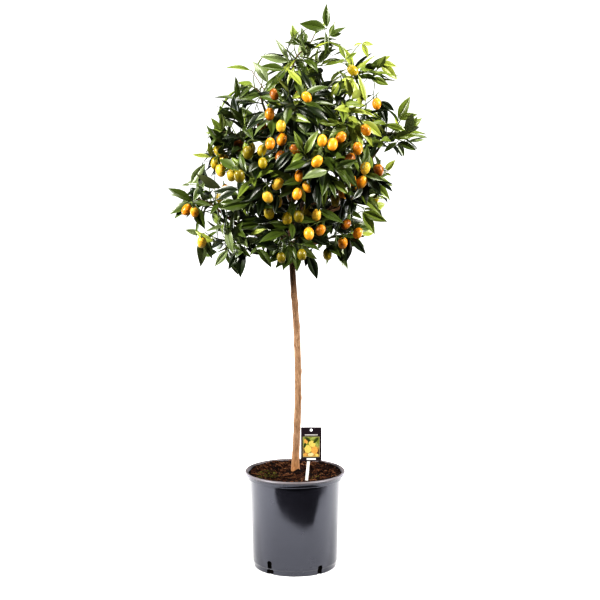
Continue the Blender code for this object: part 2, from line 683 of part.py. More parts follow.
def lay_fruit(masses):
    """The clusters at the front, each in the first mass met on its line of sight, then those behind."""
    rng = random.Random(SEED)
    for x, z, count in FRUIT:
        aim = (Vector((x, 0, z)) - SEEN_FROM) / -SEEN_FROM.y
        for k in range(34):
            at = SEEN_FROM + aim * (-SEEN_FROM.y - 0.33 + 0.01 * k)
            mass = max(masses, key=lambda m: m.cell.room(at))
            if mass.cell.room(at) > 0.017 and mass.cell.spread(at) < 0.88:
                if mass.hang_fruit(at, count, rng):
                    break
    for mass in masses:
        if mass.cell.centre.y < 0.02:
            continue
        rng = random.Random(SEED * 10 + mass.index)
        for k in range(BACK_CLUSTERS):
            way = Vector((rng.uniform(-1, 1), rng.uniform(0.5, 1.2), rng.uniform(-0.9, 0.7))).normalized()
            at = mass.cell.centre + Vector([way[j] * mass.cell.radii[j] * 0.7 for j in range(3)])
            mass.hang_fruit(mass.cell.inward(at, 0.02), rng.choice((1, 2, 2)), rng)


def lay_leaves(masses):
    """Leaves on every shoot, and none in front of a fruit that shows."""
    screens = [(at, (SEEN_FROM - at).normalized())
               for m in masses if m.cell.centre.y < 0.06 for at, _, _ in m.fruit]
    for mass in masses:
        rng = random.Random(SEED * 1000 + mass.index)
        for shoot, line in enumerate(mass.shoots):
            kept = 0
            for k, root, ways in mass.leaf_slots(shoot, line):
                length = LEAF_L * rng.uniform(0.90, 1.06)
                if k == 0 and mass.aims[shoot]:
                    length = (mass.aims[shoot] - root).length
                for way, face in ways:
                    if kept < LEAVES_A_SHOOT and len(mass.leaves) < MOST_LEAVES and mass.try_leaf(
                            shoot, k, root, way, face, length, LEAF_W * length / LEAF_L, screens):
                        kept += 1
                        break


# ---------------------------------------------------------------- foliage solids
def leaf_points(root, way, face, length, width):
    """A kite with a keel under it: root, right, left, keel, tip."""
    side = way.cross(face).normalized()
    at = root + way * length * LEAF_WIDEST
    return [root - way * LEAF_SUNK, at + side * width / 2, at - side * width / 2, at - face * LEAF_THICK,
            root + way * length - face * length * 0.05]


def tube_tree(line, r):
    bm = bmesh.new()
    tube(bm, line, [r] * len(line), 3)
    tree = BVHTree.FromBMesh(bm)
    bm.free()
    return tree


def fruit_tree(at, axis, size):
    """The fruit without the foot of its stalk."""
    bm = bmesh.new()
    fruit_solid(bm, at, axis, size, 0.45)
    tree = BVHTree.FromBMesh(bm)
    bm.free()
    return tree


def leaf_solid(bm, *leaf):
    corners = [bm.verts.new(p) for p in leaf_points(*leaf)]
    for face in LEAF_FACES:
        bm.faces.new([corners[k] for k in face])


def fruit_solid(bm, at, axis, size, stalk=1.0):
    """An oval of six sides with its three-sided stalk."""
    u, v = across(axis)
    half, r = FRUIT_L * size / 2, FRUIT_D * size / 2

    def ring(share, radius, sides):
        turn = [2 * math.pi * k / sides for k in range(sides)]
        spots = [radius * (math.cos(a) * u + math.sin(a) * v) for a in turn]
        return [bm.verts.new(at + axis * share + p) for p in spots]

    foot = bm.verts.new(at - axis * (half + STALK * stalk))
    neck = ring(-half + 0.001, STALK_R * 1.2, 3)
    top, low = ring(-half * 0.45, r * 0.96, 6), ring(half * 0.50, r * 0.92, 6)
    tip = bm.verts.new(at + axis * half)
    for k in range(3):
        n = (k + 1) % 3
        bm.faces.new((foot, neck[n], neck[k]))
        bm.faces.new((neck[k], top[2 * k], top[2 * k + 1]))
        bm.faces.new((neck[k], top[2 * k + 1], neck[n]))
        bm.faces.new((neck[n], top[2 * k + 1], top[(2 * k + 2) % 6]))
    for k in range(6):
        n = (k + 1) % 6
        bm.faces.new((top[k], top[n], low[n], low[k]))
        bm.faces.new((low[k], low[n], tip))


def keep_largest(obj):
    """Drops loose scraps, so that the object is one body."""
    bm = bmesh.new()
    bm.from_mesh(obj.data)
    seen, groups = set(), []
    for start in bm.faces:
        if start in seen:
            continue
        seen.add(start)
        group, queue = [], [start]
        while queue:
            face = queue.pop()
            group.append(face)
            for edge in face.edges:
                for other in edge.link_faces if len(edge.link_faces) == 2 else ():
                    if other not in seen:
                        seen.add(other)
                        queue.append(other)
        groups.append(group)
    groups.sort(key=len)
    bmesh.ops.delete(bm, geom=[face for group in groups[:-1] for face in group], context="FACES")
    bm.to_mesh(obj.data)
    bm.free()


def whole(obj):
    """True where every edge joins two faces."""
    bm = bmesh.new()
    bm.from_mesh(obj.data)
    good = all(len(edge.link_faces) == 2 for edge in bm.edges)
    bm.free()
    return good


def make_mass(mass, mat, solver="EXACT"):
    """Joins the mass in one union, made again with fewer leaves where that leaves an open edge."""
    group = bpy.data.collections.new("pieces_" + mass.name)
    bpy.context.scene.collection.children.link(group)

    def piece(fill, *args):
        bm = bmesh.new()
        fill(bm, *args)
        obj = add("piece", bm, None)
        bpy.context.scene.collection.objects.unlink(obj)
        group.objects.link(obj)

    bm = bmesh.new()
    tube(bm, mass.shoots[0], [STEM_R * (1 - 0.35 * k / 4) for k in range(5)], 3, mass.foot)
    body = add("foliage_" + mass.name, bm, mat)
    for line in mass.shoots[1:]:
        piece(tube, line, [TWIG_R, TWIG_R * 0.84], 3)
    for fruit in mass.fruit:
        piece(fruit_solid, *fruit)
    for leaf in mass.leaves:
        piece(leaf_solid, *leaf)
    boolean(body, "UNION", group, solver)
    keep_largest(body)
    if not whole(body):
        bpy.data.objects.remove(body)
        if solver == "MANIFOLD":
            mass.leaves.pop()
        make_mass(mass, mat, "MANIFOLD")
        return
    body.data.shade_flat()


def main():
    for obj in list(bpy.data.objects):
        bpy.data.objects.remove(obj)
    plastic = material("pot_plastic", (0.075, 0.078, 0.092), 0.38)
    mix = material("potting_mix", (0.050, 0.026, 0.017), 0.95)
    bark = material("bark", (0.42, 0.25, 0.14), 0.8)
    leaf = material("foliage", (0.070, 0.115, 0.025), 0.45)
    card = material("label_card", (0.035, 0.014, 0.025), 0.4)
    stake = material("label_stake", (0.85, 0.85, 0.84), 0.45)
    make_pot(plastic)
    make_soil(mix)
    make_label(card, stake)
    limbs = make_limbs(bark)
    wood = wood_tree(limbs)
    masses = [Mass(k, limbs, wood) for k in range(len(MASSES))]
    lay_sprigs(masses)
    lay_fruit(masses)
    for mass in masses:
        mass.fill()
    lay_leaves(masses)
    for mass in masses:
        make_mass(mass, leaf)


main()
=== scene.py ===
"""The looks of a young kumquat tree in its nursery pot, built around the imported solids.

The crown grows here by the same seeded rule as its solids: the same boughs, stems, shoots and
clusters of fruit, carried on to finer twigs and to leaves of life size. Metres, +Z up, -Y front.
"""

import random
from itertools import product
from math import atan, cos, exp, floor, hypot, pi, radians, sin, sqrt

import bmesh
import bpy
from mathutils import Matrix, Vector, noise
from mathutils.bvhtree import BVHTree


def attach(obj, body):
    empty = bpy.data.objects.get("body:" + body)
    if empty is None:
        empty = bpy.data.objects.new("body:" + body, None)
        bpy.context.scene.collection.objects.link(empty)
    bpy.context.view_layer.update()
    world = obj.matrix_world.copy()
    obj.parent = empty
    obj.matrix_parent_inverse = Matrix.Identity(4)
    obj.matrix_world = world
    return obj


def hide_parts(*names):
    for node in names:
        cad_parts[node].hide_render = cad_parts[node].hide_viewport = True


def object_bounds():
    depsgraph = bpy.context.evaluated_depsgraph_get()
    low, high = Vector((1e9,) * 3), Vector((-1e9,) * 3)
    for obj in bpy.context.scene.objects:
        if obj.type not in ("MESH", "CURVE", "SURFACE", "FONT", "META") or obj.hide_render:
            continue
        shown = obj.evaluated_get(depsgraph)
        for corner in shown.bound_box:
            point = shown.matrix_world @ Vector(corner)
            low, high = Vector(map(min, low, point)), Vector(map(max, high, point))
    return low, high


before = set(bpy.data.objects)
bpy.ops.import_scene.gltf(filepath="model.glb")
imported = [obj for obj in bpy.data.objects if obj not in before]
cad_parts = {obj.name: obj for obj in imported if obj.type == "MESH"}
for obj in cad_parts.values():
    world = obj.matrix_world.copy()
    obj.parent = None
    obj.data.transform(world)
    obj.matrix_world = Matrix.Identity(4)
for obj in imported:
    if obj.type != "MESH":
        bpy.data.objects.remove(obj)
CAD_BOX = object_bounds()


def mm(values):
    return tuple(v / 1000 for v in values)


# ---------------------------------------------------------------- the solids' dimensions
GAP = 0.0003

POT_HEIGHT = 0.256
BEAD_R, BEAD_H = 0.1318, 0.008
COLLAR_R, COLLAR_H = 0.1274, 0.009
WALL_TOP_R, WALL_FOOT_R = 0.1206, 0.1114
FOOT_BAND_R, FOOT_BAND_H = 0.1090, 0.015
FOOT_ROUND = 0.004
WALL, FLOOR = 0.0022, 0.003
DRAINS, DRAIN_START = 5, radians(-126)
DRAIN_W, DRAIN_TOP, HIGH_DRAIN_TOP, DRAIN_IN = 0.013, 0.025, 0.0365, 0.007
NOTCH_W, NOTCH_H, BRIDGE_H = 0.021, 0.0135, 0.0030
BEAD_Z = POT_HEIGHT - BEAD_H
COLLAR_Z = BEAD_Z - COLLAR_H

SOIL_Z = 0.2505
SOIL_PATCH_R = 0.026
SOIL_DIP = 0.0025

TRUNK_LINE = (
    (0.000, 0.008, 0.2508), (0.0075, 0.001, 0.436), (0.0055, 0.000, 0.606), (-0.006, -0.002, 0.781),
    (-0.013, 0.001, 0.946), (-0.018, 0.006, 1.106), (-0.018, 0.005, 1.206), (-0.006, 0.000, 1.296),
)
TRUNK_R = ((0.2508, 0.0128), (0.260, 0.0112), (0.277, 0.0103), (0.456, 0.0090), (0.776, 0.0078),
           (0.906, 0.0070), (1.056, 0.0056), (1.206, 0.0040), (1.296, 0.0031))  # height, radius
LOW_TRUNK = (Vector((0.0003, 0.0077, 0.2590)), Vector((0.0010, 0.0070, 0.2770)))

CARD_W, CARD_H, CARD_T = 0.0526, 0.088, 0.0008
CARD_AT = Vector((0.0417, -0.1000, 0.3485))
CARD_HOLE_R, CARD_HOLE_DROP = 0.0034, 0.0075
STAKE_W, STAKE_T, STAKE_DEPTH = 0.0080, 0.0014, 0.045
STAKE_FOOT_X, STAKE_HEAD_X = 0.0296, 0.0349

BOUGH_LIFT, SIDE_BOUGH_LIFT = 0.55, 0.9  # how far a bough leaves along the limb that carries it
BOUGH_HANDLE, BOUGH_STEP = 0.35, 0.048  # of its curve
BOUGH_DEPTH = 0.55  # of its tip inside its mass, as a share of the mass's radius
BOUGH_TIP_R = 0.0029
STEM_R, TWIG_R = 0.0034, 0.0021
LEAF_SPAN = 0.082  # the solids' leaf, which sets where a shoot ends
FRUIT_L, FRUIT_D = 0.037, 0.028
STALK, STALK_SUNK = 0.008, 0.0025
CELL_GAP = 0.0012
WOOD_CLEAR = 0.002
GOLDEN = radians(137.508)
SEED = 4107
# name; centre, radii and furthest tip in mm; (parent, height or share along it), bough radius at its foot
MASSES = [(name, mm(centre), mm(radii), mm(tip), *foot) for name, centre, radii, tip, *foot in (
    ("top", (30, -10, 1331), (100, 90, 100), (78, -12, 1456), None, 0),
    ("upper_left", (-105, -20, 1251), (105, 95, 90), (-182, -30, 1300), ("trunk", 1.091), 0.0042),
    ("upper_right", (165, -10, 1286), (95, 90, 80), (262, -20, 1314), ("trunk", 1.046), 0.0046),
    ("upper_front", (0, -135, 1191), (100, 90, 95), (10, -262, 1221), ("trunk", 1.021), 0.0044),
    ("right_high", (130, -120, 1186), (95, 90, 85), (190, -190, 1186), ("trunk", 0.991), 0.0044),
    ("upper_back", (30, 130, 1236), (115, 95, 95), (-30, 180, 1351), ("trunk", 1.066), 0.0044),
    ("left_high", (-160, -55, 1138), (95, 100, 95), (-268, -60, 1146), ("trunk", 0.941), 0.0054),
    ("right_far", (250, -20, 1136), (95, 90, 85), (338, -30, 1131), ("trunk", 0.871), 0.0058),
    ("front_middle", (50, -205, 1056), (100, 85, 90), (60, -305, 1081), ("trunk", 0.901), 0.0052),
    ("front_right", (160, -120, 1026), (95, 95, 85), (222, -205, 1041), ("trunk", 0.926), 0.005),
    ("front_left", (-90, -180, 1026), (100, 90, 90), (-130, -285, 1046), ("trunk", 0.856), 0.005),
    ("left_far", (-240, -20, 966), (90, 90, 85), (-326, -25, 996), ("trunk", 0.838), 0.0058),
    ("left_back", (-150, 110, 1086), (105, 100, 100), (-235, 200, 1111), ("left_high", 0.36), 0.004),
    ("right_back", (160, 130, 1116), (105, 100, 100), (225, 215, 1156), ("trunk", 0.961), 0.0052),
    ("back_middle", (0, 220, 1066), (110, 85, 95), (10, 312, 1096), ("trunk", 0.911), 0.0052),
    ("low_left", (-165, -70, 866), (90, 90, 85), (-205, -115, 774), ("left_far", 0.3), 0.004),
    ("low_front", (-10, -140, 886), (100, 90, 85), (-20, -235, 821), ("trunk", 0.808), 0.0048),
    ("low_right", (120, -50, 886), (90, 90, 85), (150, -85, 778), ("trunk", 0.824), 0.0048),
    ("right_middle", (180, 30, 976), (80, 90, 85), (250, 40, 956), ("right_far", 0.34), 0.004),
    ("low_back_left", (-80, 150, 906), (105, 95, 90), (-140, 232, 876), ("trunk", 0.83), 0.0048),
    ("low_back_right", (90, 140, 926), (100, 95, 90), (155, 222, 896), ("trunk", 0.848), 0.0048),
)]
SHOOTS, SPARE = 10, 6  # to a mass, beside its stem, and how many more places are tried for them
FEET, FORK = 14, 0.85  # places on a stem tried for a shoot, and the angle between them liked best
BEST_FEET = 7  # of them that are tried out
SHOOT_REACH = (0.42, 0.66)  # of its tip, as a share of the mass's ellipsoid
SHOOT_OVER, SHOOT_INSET = 0.035, 0.012  # of the place aimed at over the cell's walls, and where it is moved
SHOOT_CLEAR = 0.003  # of a shoot from the walls of its cell
LONE_LEAN, CLUSTER_LEAN = (0.05, 0.5), (0.68, 0.85)  # of a fruit from straight down
FRUIT_SIZES, SHOWN_SIZES = (0.90, 1.02), (0.77, 0.94)
CLUSTER_ROOM, CLUSTER_REACH = 0.017, 0.88  # where a cluster may hang in its mass
SIGHT_FROM, SIGHT_STEP, SIGHT_STEPS = 0.33, 0.01, 34  # along a line of sight, from before the middle plane
SOLID_FRUIT_GAP, FRUIT_GAP = 0.0006, 0.0008

# Tips of more sprigs that stand out of the outline, in mm
SPRIGS = [Vector(mm(tip)) for tip in (
    (12, -10, 1408), (132, -10, 1398), (100, 50, 1411), (-40, -10, 1368), (-105, -15, 1331),
    (-190, -40, 1244), (-212, -40, 1216), (-262, -50, 1084), (-285, -20, 1026), (-318, -30, 928),
    (-274, -60, 886), (-238, -70, 796), (-150, -110, 770), (-55, -150, 796), (55, -170, 766),
    (192, -60, 824), (218, -50, 882), (256, -120, 991), (258, 20, 1056), (308, -30, 1091), (304, -20, 1234),
    (248, -20, 1244), (205, -20, 1366), (262, -30, 1274),
)]
HEAD = Vector((0.0, 0.08, 1.056))  # leaves turn their faces away from here

# Clusters of fruit that show at the front: x, z on the crown's middle plane in mm, count
FRUIT = (
    (-186, 1062, 4), (-144, 1098, 1), (-152, 1028, 2), (-182, 982, 2), (-268, 938, 2), (-236, 856, 1),
    (-56, 1208, 2), (-84, 1152, 1), (-38, 1144, 1), (-58, 1110, 2), (-38, 1076, 1), (-83, 1074, 2),
    (30, 1226, 1), (0, 1093, 1), (57, 1063, 1), (98, 1114, 3), (158, 1098, 1), (140, 1069, 1),
    (181, 1143, 1), (208, 1209, 1), (147, 1293, 1), (172, 1024, 4), (214, 1041, 1), (112, 973, 2),
    (22, 1002, 3), (-58, 988, 2), (-40, 963, 2), (-63, 932, 1), (-12, 919, 2), (42, 932, 2), (48, 882, 2),
    (-35, 816, 1), (18, 824, 1), (84, 825, 1), (123, 854, 1), (162, 879, 1), (130, 900, 1),
)
CLUSTERS_SEEN_FROM = Vector((0.013, -3.8, 1.206))
BACK_CLUSTERS, BACK_Y = 2, 0.02  # on each mass whose centre lies behind this
UP = Vector((0, 0, 1))

# ---------------------------------------------------------------- the photograph's crown
# Its outline on the plane y = 0, round from the top: x, z in mm
OUTLINE = [mm(point) for point in (
    (81, 1458), (94, 1426), (134, 1404), (124, 1386), (120, 1363), (158, 1356), (200, 1360), (195, 1334),
    (245, 1333), (268, 1271), (246, 1253), (203, 1246), (228, 1236), (226, 1214), (256, 1190), (256, 1166),
    (266, 1202), (296, 1232), (315, 1186), (341, 1133), (314, 1090), (284, 1072), (226, 1090), (238, 1076),
    (261, 1068), (244, 1036), (254, 998), (245, 961), (228, 946), (238, 906), (208, 878), (184, 868),
    (187, 826), (142, 856), (138, 796), (108, 831), (94, 808), (58, 759), (40, 796), (8, 776), (-24, 784),
    (-58, 788), (-92, 830), (-118, 818), (-142, 762), (-175, 784), (-207, 792), (-238, 796), (-256, 842),
    (-285, 886), (-240, 911), (-324, 924), (-300, 954), (-327, 996), (-280, 978), (-290, 1006),
    (-240, 1056), (-264, 1082), (-224, 1114), (-232, 1136), (-216, 1174), (-200, 1184), (-210, 1224),
    (-161, 1228), (-149, 1282), (-107, 1258), (-88, 1246), (-92, 1292), (-104, 1312), (-99, 1331),
    (-52, 1376), (-27, 1368), (-7, 1379), (4, 1416), (30, 1406), (52, 1406), (68, 1431),
)]
# Sky seen through it: x, z, radius in mm
HOLES = [mm(hole) for hole in (
    (-100, 1210, 21), (-115, 1200, 11), (-80, 1260, 16), (-60, 1290, 14), (-60, 1315, 14), (-80, 1320, 11),
    (0, 1345, 14), (0, 1235, 14), (-45, 1190, 11), (-145, 1150, 14), (-95, 1105, 14), (-105, 1095, 11),
    (30, 1335, 11), (85, 1325, 11), (90, 1295, 16), (80, 1280, 11), (155, 1320, 14), (165, 1340, 19),
    (205, 1260, 16), (180, 1235, 14), (230, 1185, 14), (280, 1160, 14), (285, 1180, 11), (265, 1110, 14),
    (225, 1085, 16), (240, 1065, 16), (175, 1165, 11), (160, 1180, 11), (60, 1385, 19), (45, 1380, 16),
    (-185, 1020, 16), (-160, 1005, 16), (-225, 970, 14), (-235, 995, 11), (-170, 965, 11), (-220, 925, 11),
    (-220, 910, 11), (-210, 875, 14), (-160, 870, 11), (-210, 830, 14), (-190, 845, 11), (-185, 815, 14),
    (-155, 805, 11), (-115, 870, 11), (-70, 865, 9), (-60, 855, 9), (110, 1005, 11), (95, 940, 11),
    (110, 935, 11), (95, 880, 14), (105, 860, 14), (210, 970, 11), (180, 945, 14), (160, 930, 11),
    (170, 915, 11), (215, 910, 14),
)]
# Sprays that stand out in it: node x, y, z in mm, tone, each leaf's tip (x, z) in mm
SPRAYS = (
    (81, -10, 1397, 1, (79, 1459), (11, 1411)),
    (87, -20, 1378, 1, (130, 1399), (118, 1384), (99, 1409)),
    (18, -20, 1355, 1, (-11, 1375), (22, 1385), (43, 1362), (-27, 1361)),
    (-14, -60, 1312, 4, (-51, 1368), (-87, 1328)),
    (-22, -80, 1294, 1, (-86, 1300), (-51, 1257)),
    (-108, -50, 1292, 2, (-172, 1297)),
    (-143, -60, 1221, 1, (-204, 1224), (-147, 1277), (-104, 1254), (-76, 1234)),
    (-159, -50, 1200, 0, (-196, 1181), (-183, 1217)),
    (-181, -70, 1140, 2, (-210, 1174), (-225, 1137), (-183, 1189)),
    (-209, -60, 1075, 3, (-258, 1083), (-217, 1115)),
    (-257, -60, 963, 1, (-320, 999), (-318, 931), (-230, 893), (-209, 954), (-225, 1017), (-305, 921)),
    (-264, -50, 1007, 4, (-227, 1063), (-286, 1005)),
    (-234, -70, 882, 4, (-277, 894), (-236, 800), (-210, 820)),
    (-165, -110, 850, 4, (-199, 803)),
    (-130, -115, 853, 0, (-167, 798), (-139, 778)),
    (-92, -150, 856, 1, (-55, 809), (-112, 836)),
    (3, -160, 861, 1, (-24, 804), (7, 797)),
    (33, -150, 841, 0, (56, 778), (27, 809)),
    (137, -100, 878, 0, (128, 814), (179, 838)),
    (103, -90, 846, 1, (135, 798)),
    (168, -80, 942, 2, (202, 885), (231, 915)),
    (182, -120, 1029, 2, (235, 971), (242, 1007)),
    (226, -40, 1036, 3, (256, 1068), (244, 1029)),
    (259, -30, 1170, 2, (293, 1227), (309, 1184)),
    (284, -30, 1139, 2, (336, 1131), (311, 1177), (223, 1159)),
    (260, -30, 1114, 1, (308, 1094), (278, 1076), (224, 1087)),
    (211, -30, 1313, 3, (241, 1328), (261, 1271), (258, 1301)),
    (191, -30, 1275, 2, (238, 1257), (222, 1291)),
    (168, -20, 1361, 3, (147, 1352), (198, 1356), (185, 1323)),
    (216, -30, 1217, 0, (251, 1191), (235, 1159)),
    (5, -200, 1018, 1, (-61, 1053), (-39, 981)),
    (31, -200, 1028, 1, (102, 1033), (11, 1076)),
    (51, -170, 953, 1, (122, 919), (66, 909)),
    (108, -120, 1263, 3, (88, 1225), (141, 1269)),
    (-17, -170, 1139, 0, (43, 1108), (20, 1070)),
    (-68, -130, 1191, 0, (-121, 1142), (-36, 1226)),
    (123, -130, 1161, 2, (166, 1147), (130, 1113)),
    (14, -235, 1013, 3, (25, 973), (54, 1007)),
    (126, -80, 1318, 2, (155, 1335), (109, 1357), (104, 1309)),
    (-141, -90, 980, 1, (-101, 929), (-165, 996)),
    (-189, -100, 963, 1, (-210, 934), (-145, 970)),
)
LONG_TWIG = (Vector((-0.062, -0.075, 1.222)), Vector((-0.108, -0.050, 1.292)))  # bare to its tip
# Every fruit that shows: x, z on the plane y = 0 in mm, ripeness (0 green to 5 deep orange, whose colour is
# also darkened as painted shade)
SHOWN_FRUIT = (
    (30, 1226, 3), (-52, 1233, 5), (-64, 1183, 4), (-84, 1151, 4), (-35, 1153, 2), (-63, 1108, 4),
    (-33, 1119, 4), (0, 1093, 5), (-37, 1076, 5), (-84, 1091, 1), (-82, 1059, 1), (-120, 1086, 0),
    (-144, 1104, 5), (-193, 1088, 1), (-178, 1064, 2), (-203, 1059, 1), (-190, 1040, 2), (-162, 1028, 1),
    (-142, 1026, 0), (-177, 991, 5), (-190, 972, 1), (-278, 940, 4), (-258, 934, 3), (-240, 856, 2),
    (57, 1063, 3), (96, 1106, 3), (117, 1124, 4), (70, 1116, 3), (160, 1096, 4), (140, 1069, 5),
    (181, 1143, 4), (208, 1209, 3), (147, 1293, 1), (180, 1046, 2), (145, 1016, 3), (171, 1011, 3),
    (214, 1041, 5), (122, 984, 4), (104, 963, 1), (12, 1026, 4), (32, 999, 3), (6, 980, 3), (-70, 972, 2),
    (-44, 1006, 2), (-45, 961, 2), (-66, 932, 1), (-20, 917, 1), (10, 923, 0), (33, 938, 0), (56, 926, 2),
    (36, 878, 3), (66, 887, 4), (-35, 816, 0), (18, 824, 0), (84, 825, 1), (123, 854, 4), (162, 879, 4),
    (131, 902, 5),
)
SEEN_FROM = Vector((0.0131, -3.8, 1.211))
LEAF_L = 0.073
INTERNODE = 0.0092
REACH = 1.20  # of a leaf's tip, as a share of its mass's ellipsoid
LEAF_SIZES = (0.80, 1.14)  # shares of LEAF_L
LEAF_WIDTHS, SPRAY_WIDTHS = (0.29, 0.37), (0.33, 0.39)  # shares of a leaf's length
YOUNG = (0.84, 0.92, 1.0)  # size of the leaves from the tip of a twig back
LEAF_TILT, LEAF_TILT_STEP = 26, 14  # degrees from the twig, for the last leaf and more for those before it
LEAF_TURNS = (0, 1.1, -1.1, 2.4)  # round the twig, tried until the leaf has room
TWIGS = 26  # finer ones to a mass
TWIG_REACH = (0.35, 0.98)  # of their tips, as a share of the ellipsoid
# Foot radius, tip radius and green (0 to 1) of each kind of twig
STEM = (BOUGH_TIP_R, 0.0012, 0.35)
SHOOT = (0.0017, 0.0010, 0.65)
FINE_TWIG = (0.0012, 0.0008, 0.85)
FRUIT_TWIG = (0.0011, 0.0009, 0.8)
SPRAY_TWIG = (0.0014, 0.0009, 0.8)
SPRAY_SIDE_TWIG = (0.0010, 0.0008, 0.9)
BARE_TWIG = (0.0018, 0.0011, 0.0)
SHOOT_GAP, TIP_GAP = 0.042, 0.027  # least distance between the tips of shoots and of twigs
TIP_OVER, MIDDLE_OVER = 0.030, 0.012  # how far a leaf may reach over the walls of its cell
NEAR = 0.075  # pieces of the crown further apart than this cannot meet
RIM = 0.035  # depth of the more open foliage inside the outline
SPRAY_BEND = 0.07
# Leaf tones: deep is partly painted shade, light partly painted light, pale a painted sheen; mid and fresh
# are the leaves' own greens.
TONES = ("deep", "mid", "light", "fresh", "pale")
# The solids' box with a little more, which holds every leaf
LOW = Vector(CAD_BOX[0]) - Vector((0.006, 0.006, 0.0))
HIGH = Vector(CAD_BOX[1]) + Vector((0.006, 0.006, 0.004))


# ---------------------------------------------------------------- lines and tubes
def clamp(x, low, high):
    return min(max(x, low), high)


def polar(r, a, z):
    return Vector((r * cos(a), r * sin(a), z))


def circle(n):
    return [2 * pi * k / n for k in range(n)]


def turned(u, v, a):
    """The direction at an angle from u toward v."""
    return cos(a) * u + sin(a) * v


def square_to(v, d):
    """What is left of v without its part along the direction d."""
    return v - v.dot(d) * d


def smooth_line(points, steps):
    """Points of a Catmull-Rom curve through the given ones."""
    p = [Vector(q) for q in points]
    p = [2 * p[0] - p[1], *p, 2 * p[-1] - p[-2]]
    line = []
    for a, b, c, d in zip(p, p[1:], p[2:], p[3:]):
        for t in (k / steps for k in range(steps)):
            line.append(0.5 * (2 * b + (c - a) * t + (2 * a - 5 * b + 4 * c - d) * t * t
                               + (3 * b - a - 3 * c + d) * t ** 3))
    return [*line, p[-2].copy()]


def bezier(a, b, c, d, steps):
    line = []
    for t in (k / steps for k in range(steps + 1)):
        s = 1 - t
        line.append(s ** 3 * a + 3 * s * s * t * b + 3 * s * t * t * c + t ** 3 * d)
    return line


def table(rows, at):
    """The value at a height, read between the rows of (height, value)."""
    for (z, low), (top, high) in zip(rows, rows[1:]):
        if at <= top:
            return low + (high - low) * max(0, (at - z) / (top - z))
    return rows[-1][1]


def tangent(line, i):
    return (line[min(i + 1, len(line) - 1)] - line[max(i - 1, 0)]).normalized()


def length_of(line):
    return sum((b - a).length for a, b in zip(line, line[1:]))


def across(direction):
    """Two unit vectors square to the direction and to each other."""
    side = direction.cross(UP if abs(direction.z) < 0.9 else Vector((1, 0, 0))).normalized()
    return side, side.cross(direction)


def frames(line):
    """(direction, square vector) at each point of the line, the vector carried along without twist."""
    u = across(tangent(line, 0))[0]
    out = []
    for i in range(len(line)):
        d = tangent(line, i)
        u = square_to(u, d).normalized()
        out.append((d, u))
    return out


def along(line, share):
    """Point, direction and carried square vector at a share of the line's length."""
    left = share * length_of(line)
    square = frames(line)
    for i, (a, b) in enumerate(zip(line, line[1:])):
        span = (b - a).length
        if left <= span or i == len(line) - 2:
            t = min(left / span, 1)
            d = (b - a).normalized()
            u = square[i][1].lerp(square[i + 1][1], t)
            return a.lerp(b, t), d, square_to(u, d).normalized()
        left -= span


def bands(first, rows, sides):
    """Faces between rows of points round an axis, from the point numbered first."""
    for a in range(first, first + (rows - 1) * sides, sides):
        for k in range(sides):
            p, q = a + k, a + (k + 1) % sides
            yield p, q, q + sides, p + sides


def tube(line, radii, sides, shape=None):
    """Points and faces of a closed tapering tube."""
    verts = []
    for i, (at, (d, u)) in enumerate(zip(line, frames(line))):
        v = u.cross(d)
        for a in circle(sides):
            out = turned(u, v, a)
            verts.append(at + (radii[i] * (shape(i, a, at, out) if shape else 1)) * out)
    ends = [tuple(range(sides))[::-1], tuple(range(len(verts) - sides, len(verts)))]
    return verts, [*bands(0, len(line), sides), *ends]


def tube_tree(line, r, sides=3):
    return BVHTree.FromPolygons(*tube(line, [r] * len(line), sides))


# ---------------------------------------------------------------- limbs and cells, as in the solids
def make_limbs():
    """Each limb's (line, radii, control points of its curve)."""
    line = smooth_line(TRUNK_LINE, 2)
    line[1:1] = LOW_TRUNK
    limbs = {"trunk": (line, [table(TRUNK_R, p.z) for p in line], None)}
    for name, centre, radii_of, _, parent, foot_r in MASSES:
        if not parent:
            continue
        above, place = parent
        up_line, up_radii, _ = limbs[above]
        if above == "trunk":
            i = min(range(len(up_line)), key=lambda k: abs(up_line[k].z - place))
            j = i + 1 if up_line[i].z < place else i - 1
            t = (place - up_line[i].z) / (up_line[j].z - up_line[i].z)
            at, d = up_line[i].lerp(up_line[j], t), tangent(up_line, i)
            width = table(TRUNK_R, place)
        else:
            at, d, _ = along(up_line, place)
            width = up_radii[0] + (up_radii[-1] - up_radii[0]) * place
        centre = Vector(centre)
        to = centre - at
        out = square_to(to, d).normalized()
        foot = at + out * (width + GAP)
        lift = BOUGH_LIFT if above == "trunk" else SIDE_BOUGH_LIFT
        first = (out + lift * (d if above == "trunk" or to.dot(d) > 0 else -d)).normalized()
        end = centre - to.normalized() * (sum(radii_of) / 3) * BOUGH_DEPTH
        span = (end - foot).length
        last = (to.normalized() + 0.35 * UP * (1 if centre.z > 0.95 else -0.2)).normalized()
        steps = max(3, round(span / BOUGH_STEP))
        curve = (foot, foot + first * span * BOUGH_HANDLE, end - last * span * BOUGH_HANDLE, end)
        radii = [foot_r + (BOUGH_TIP_R - foot_r) * (k / steps) ** 0.8 for k in range(steps + 1)]
        limbs[name] = (bezier(*curve, steps), radii, (*curve, out))
    return limbs


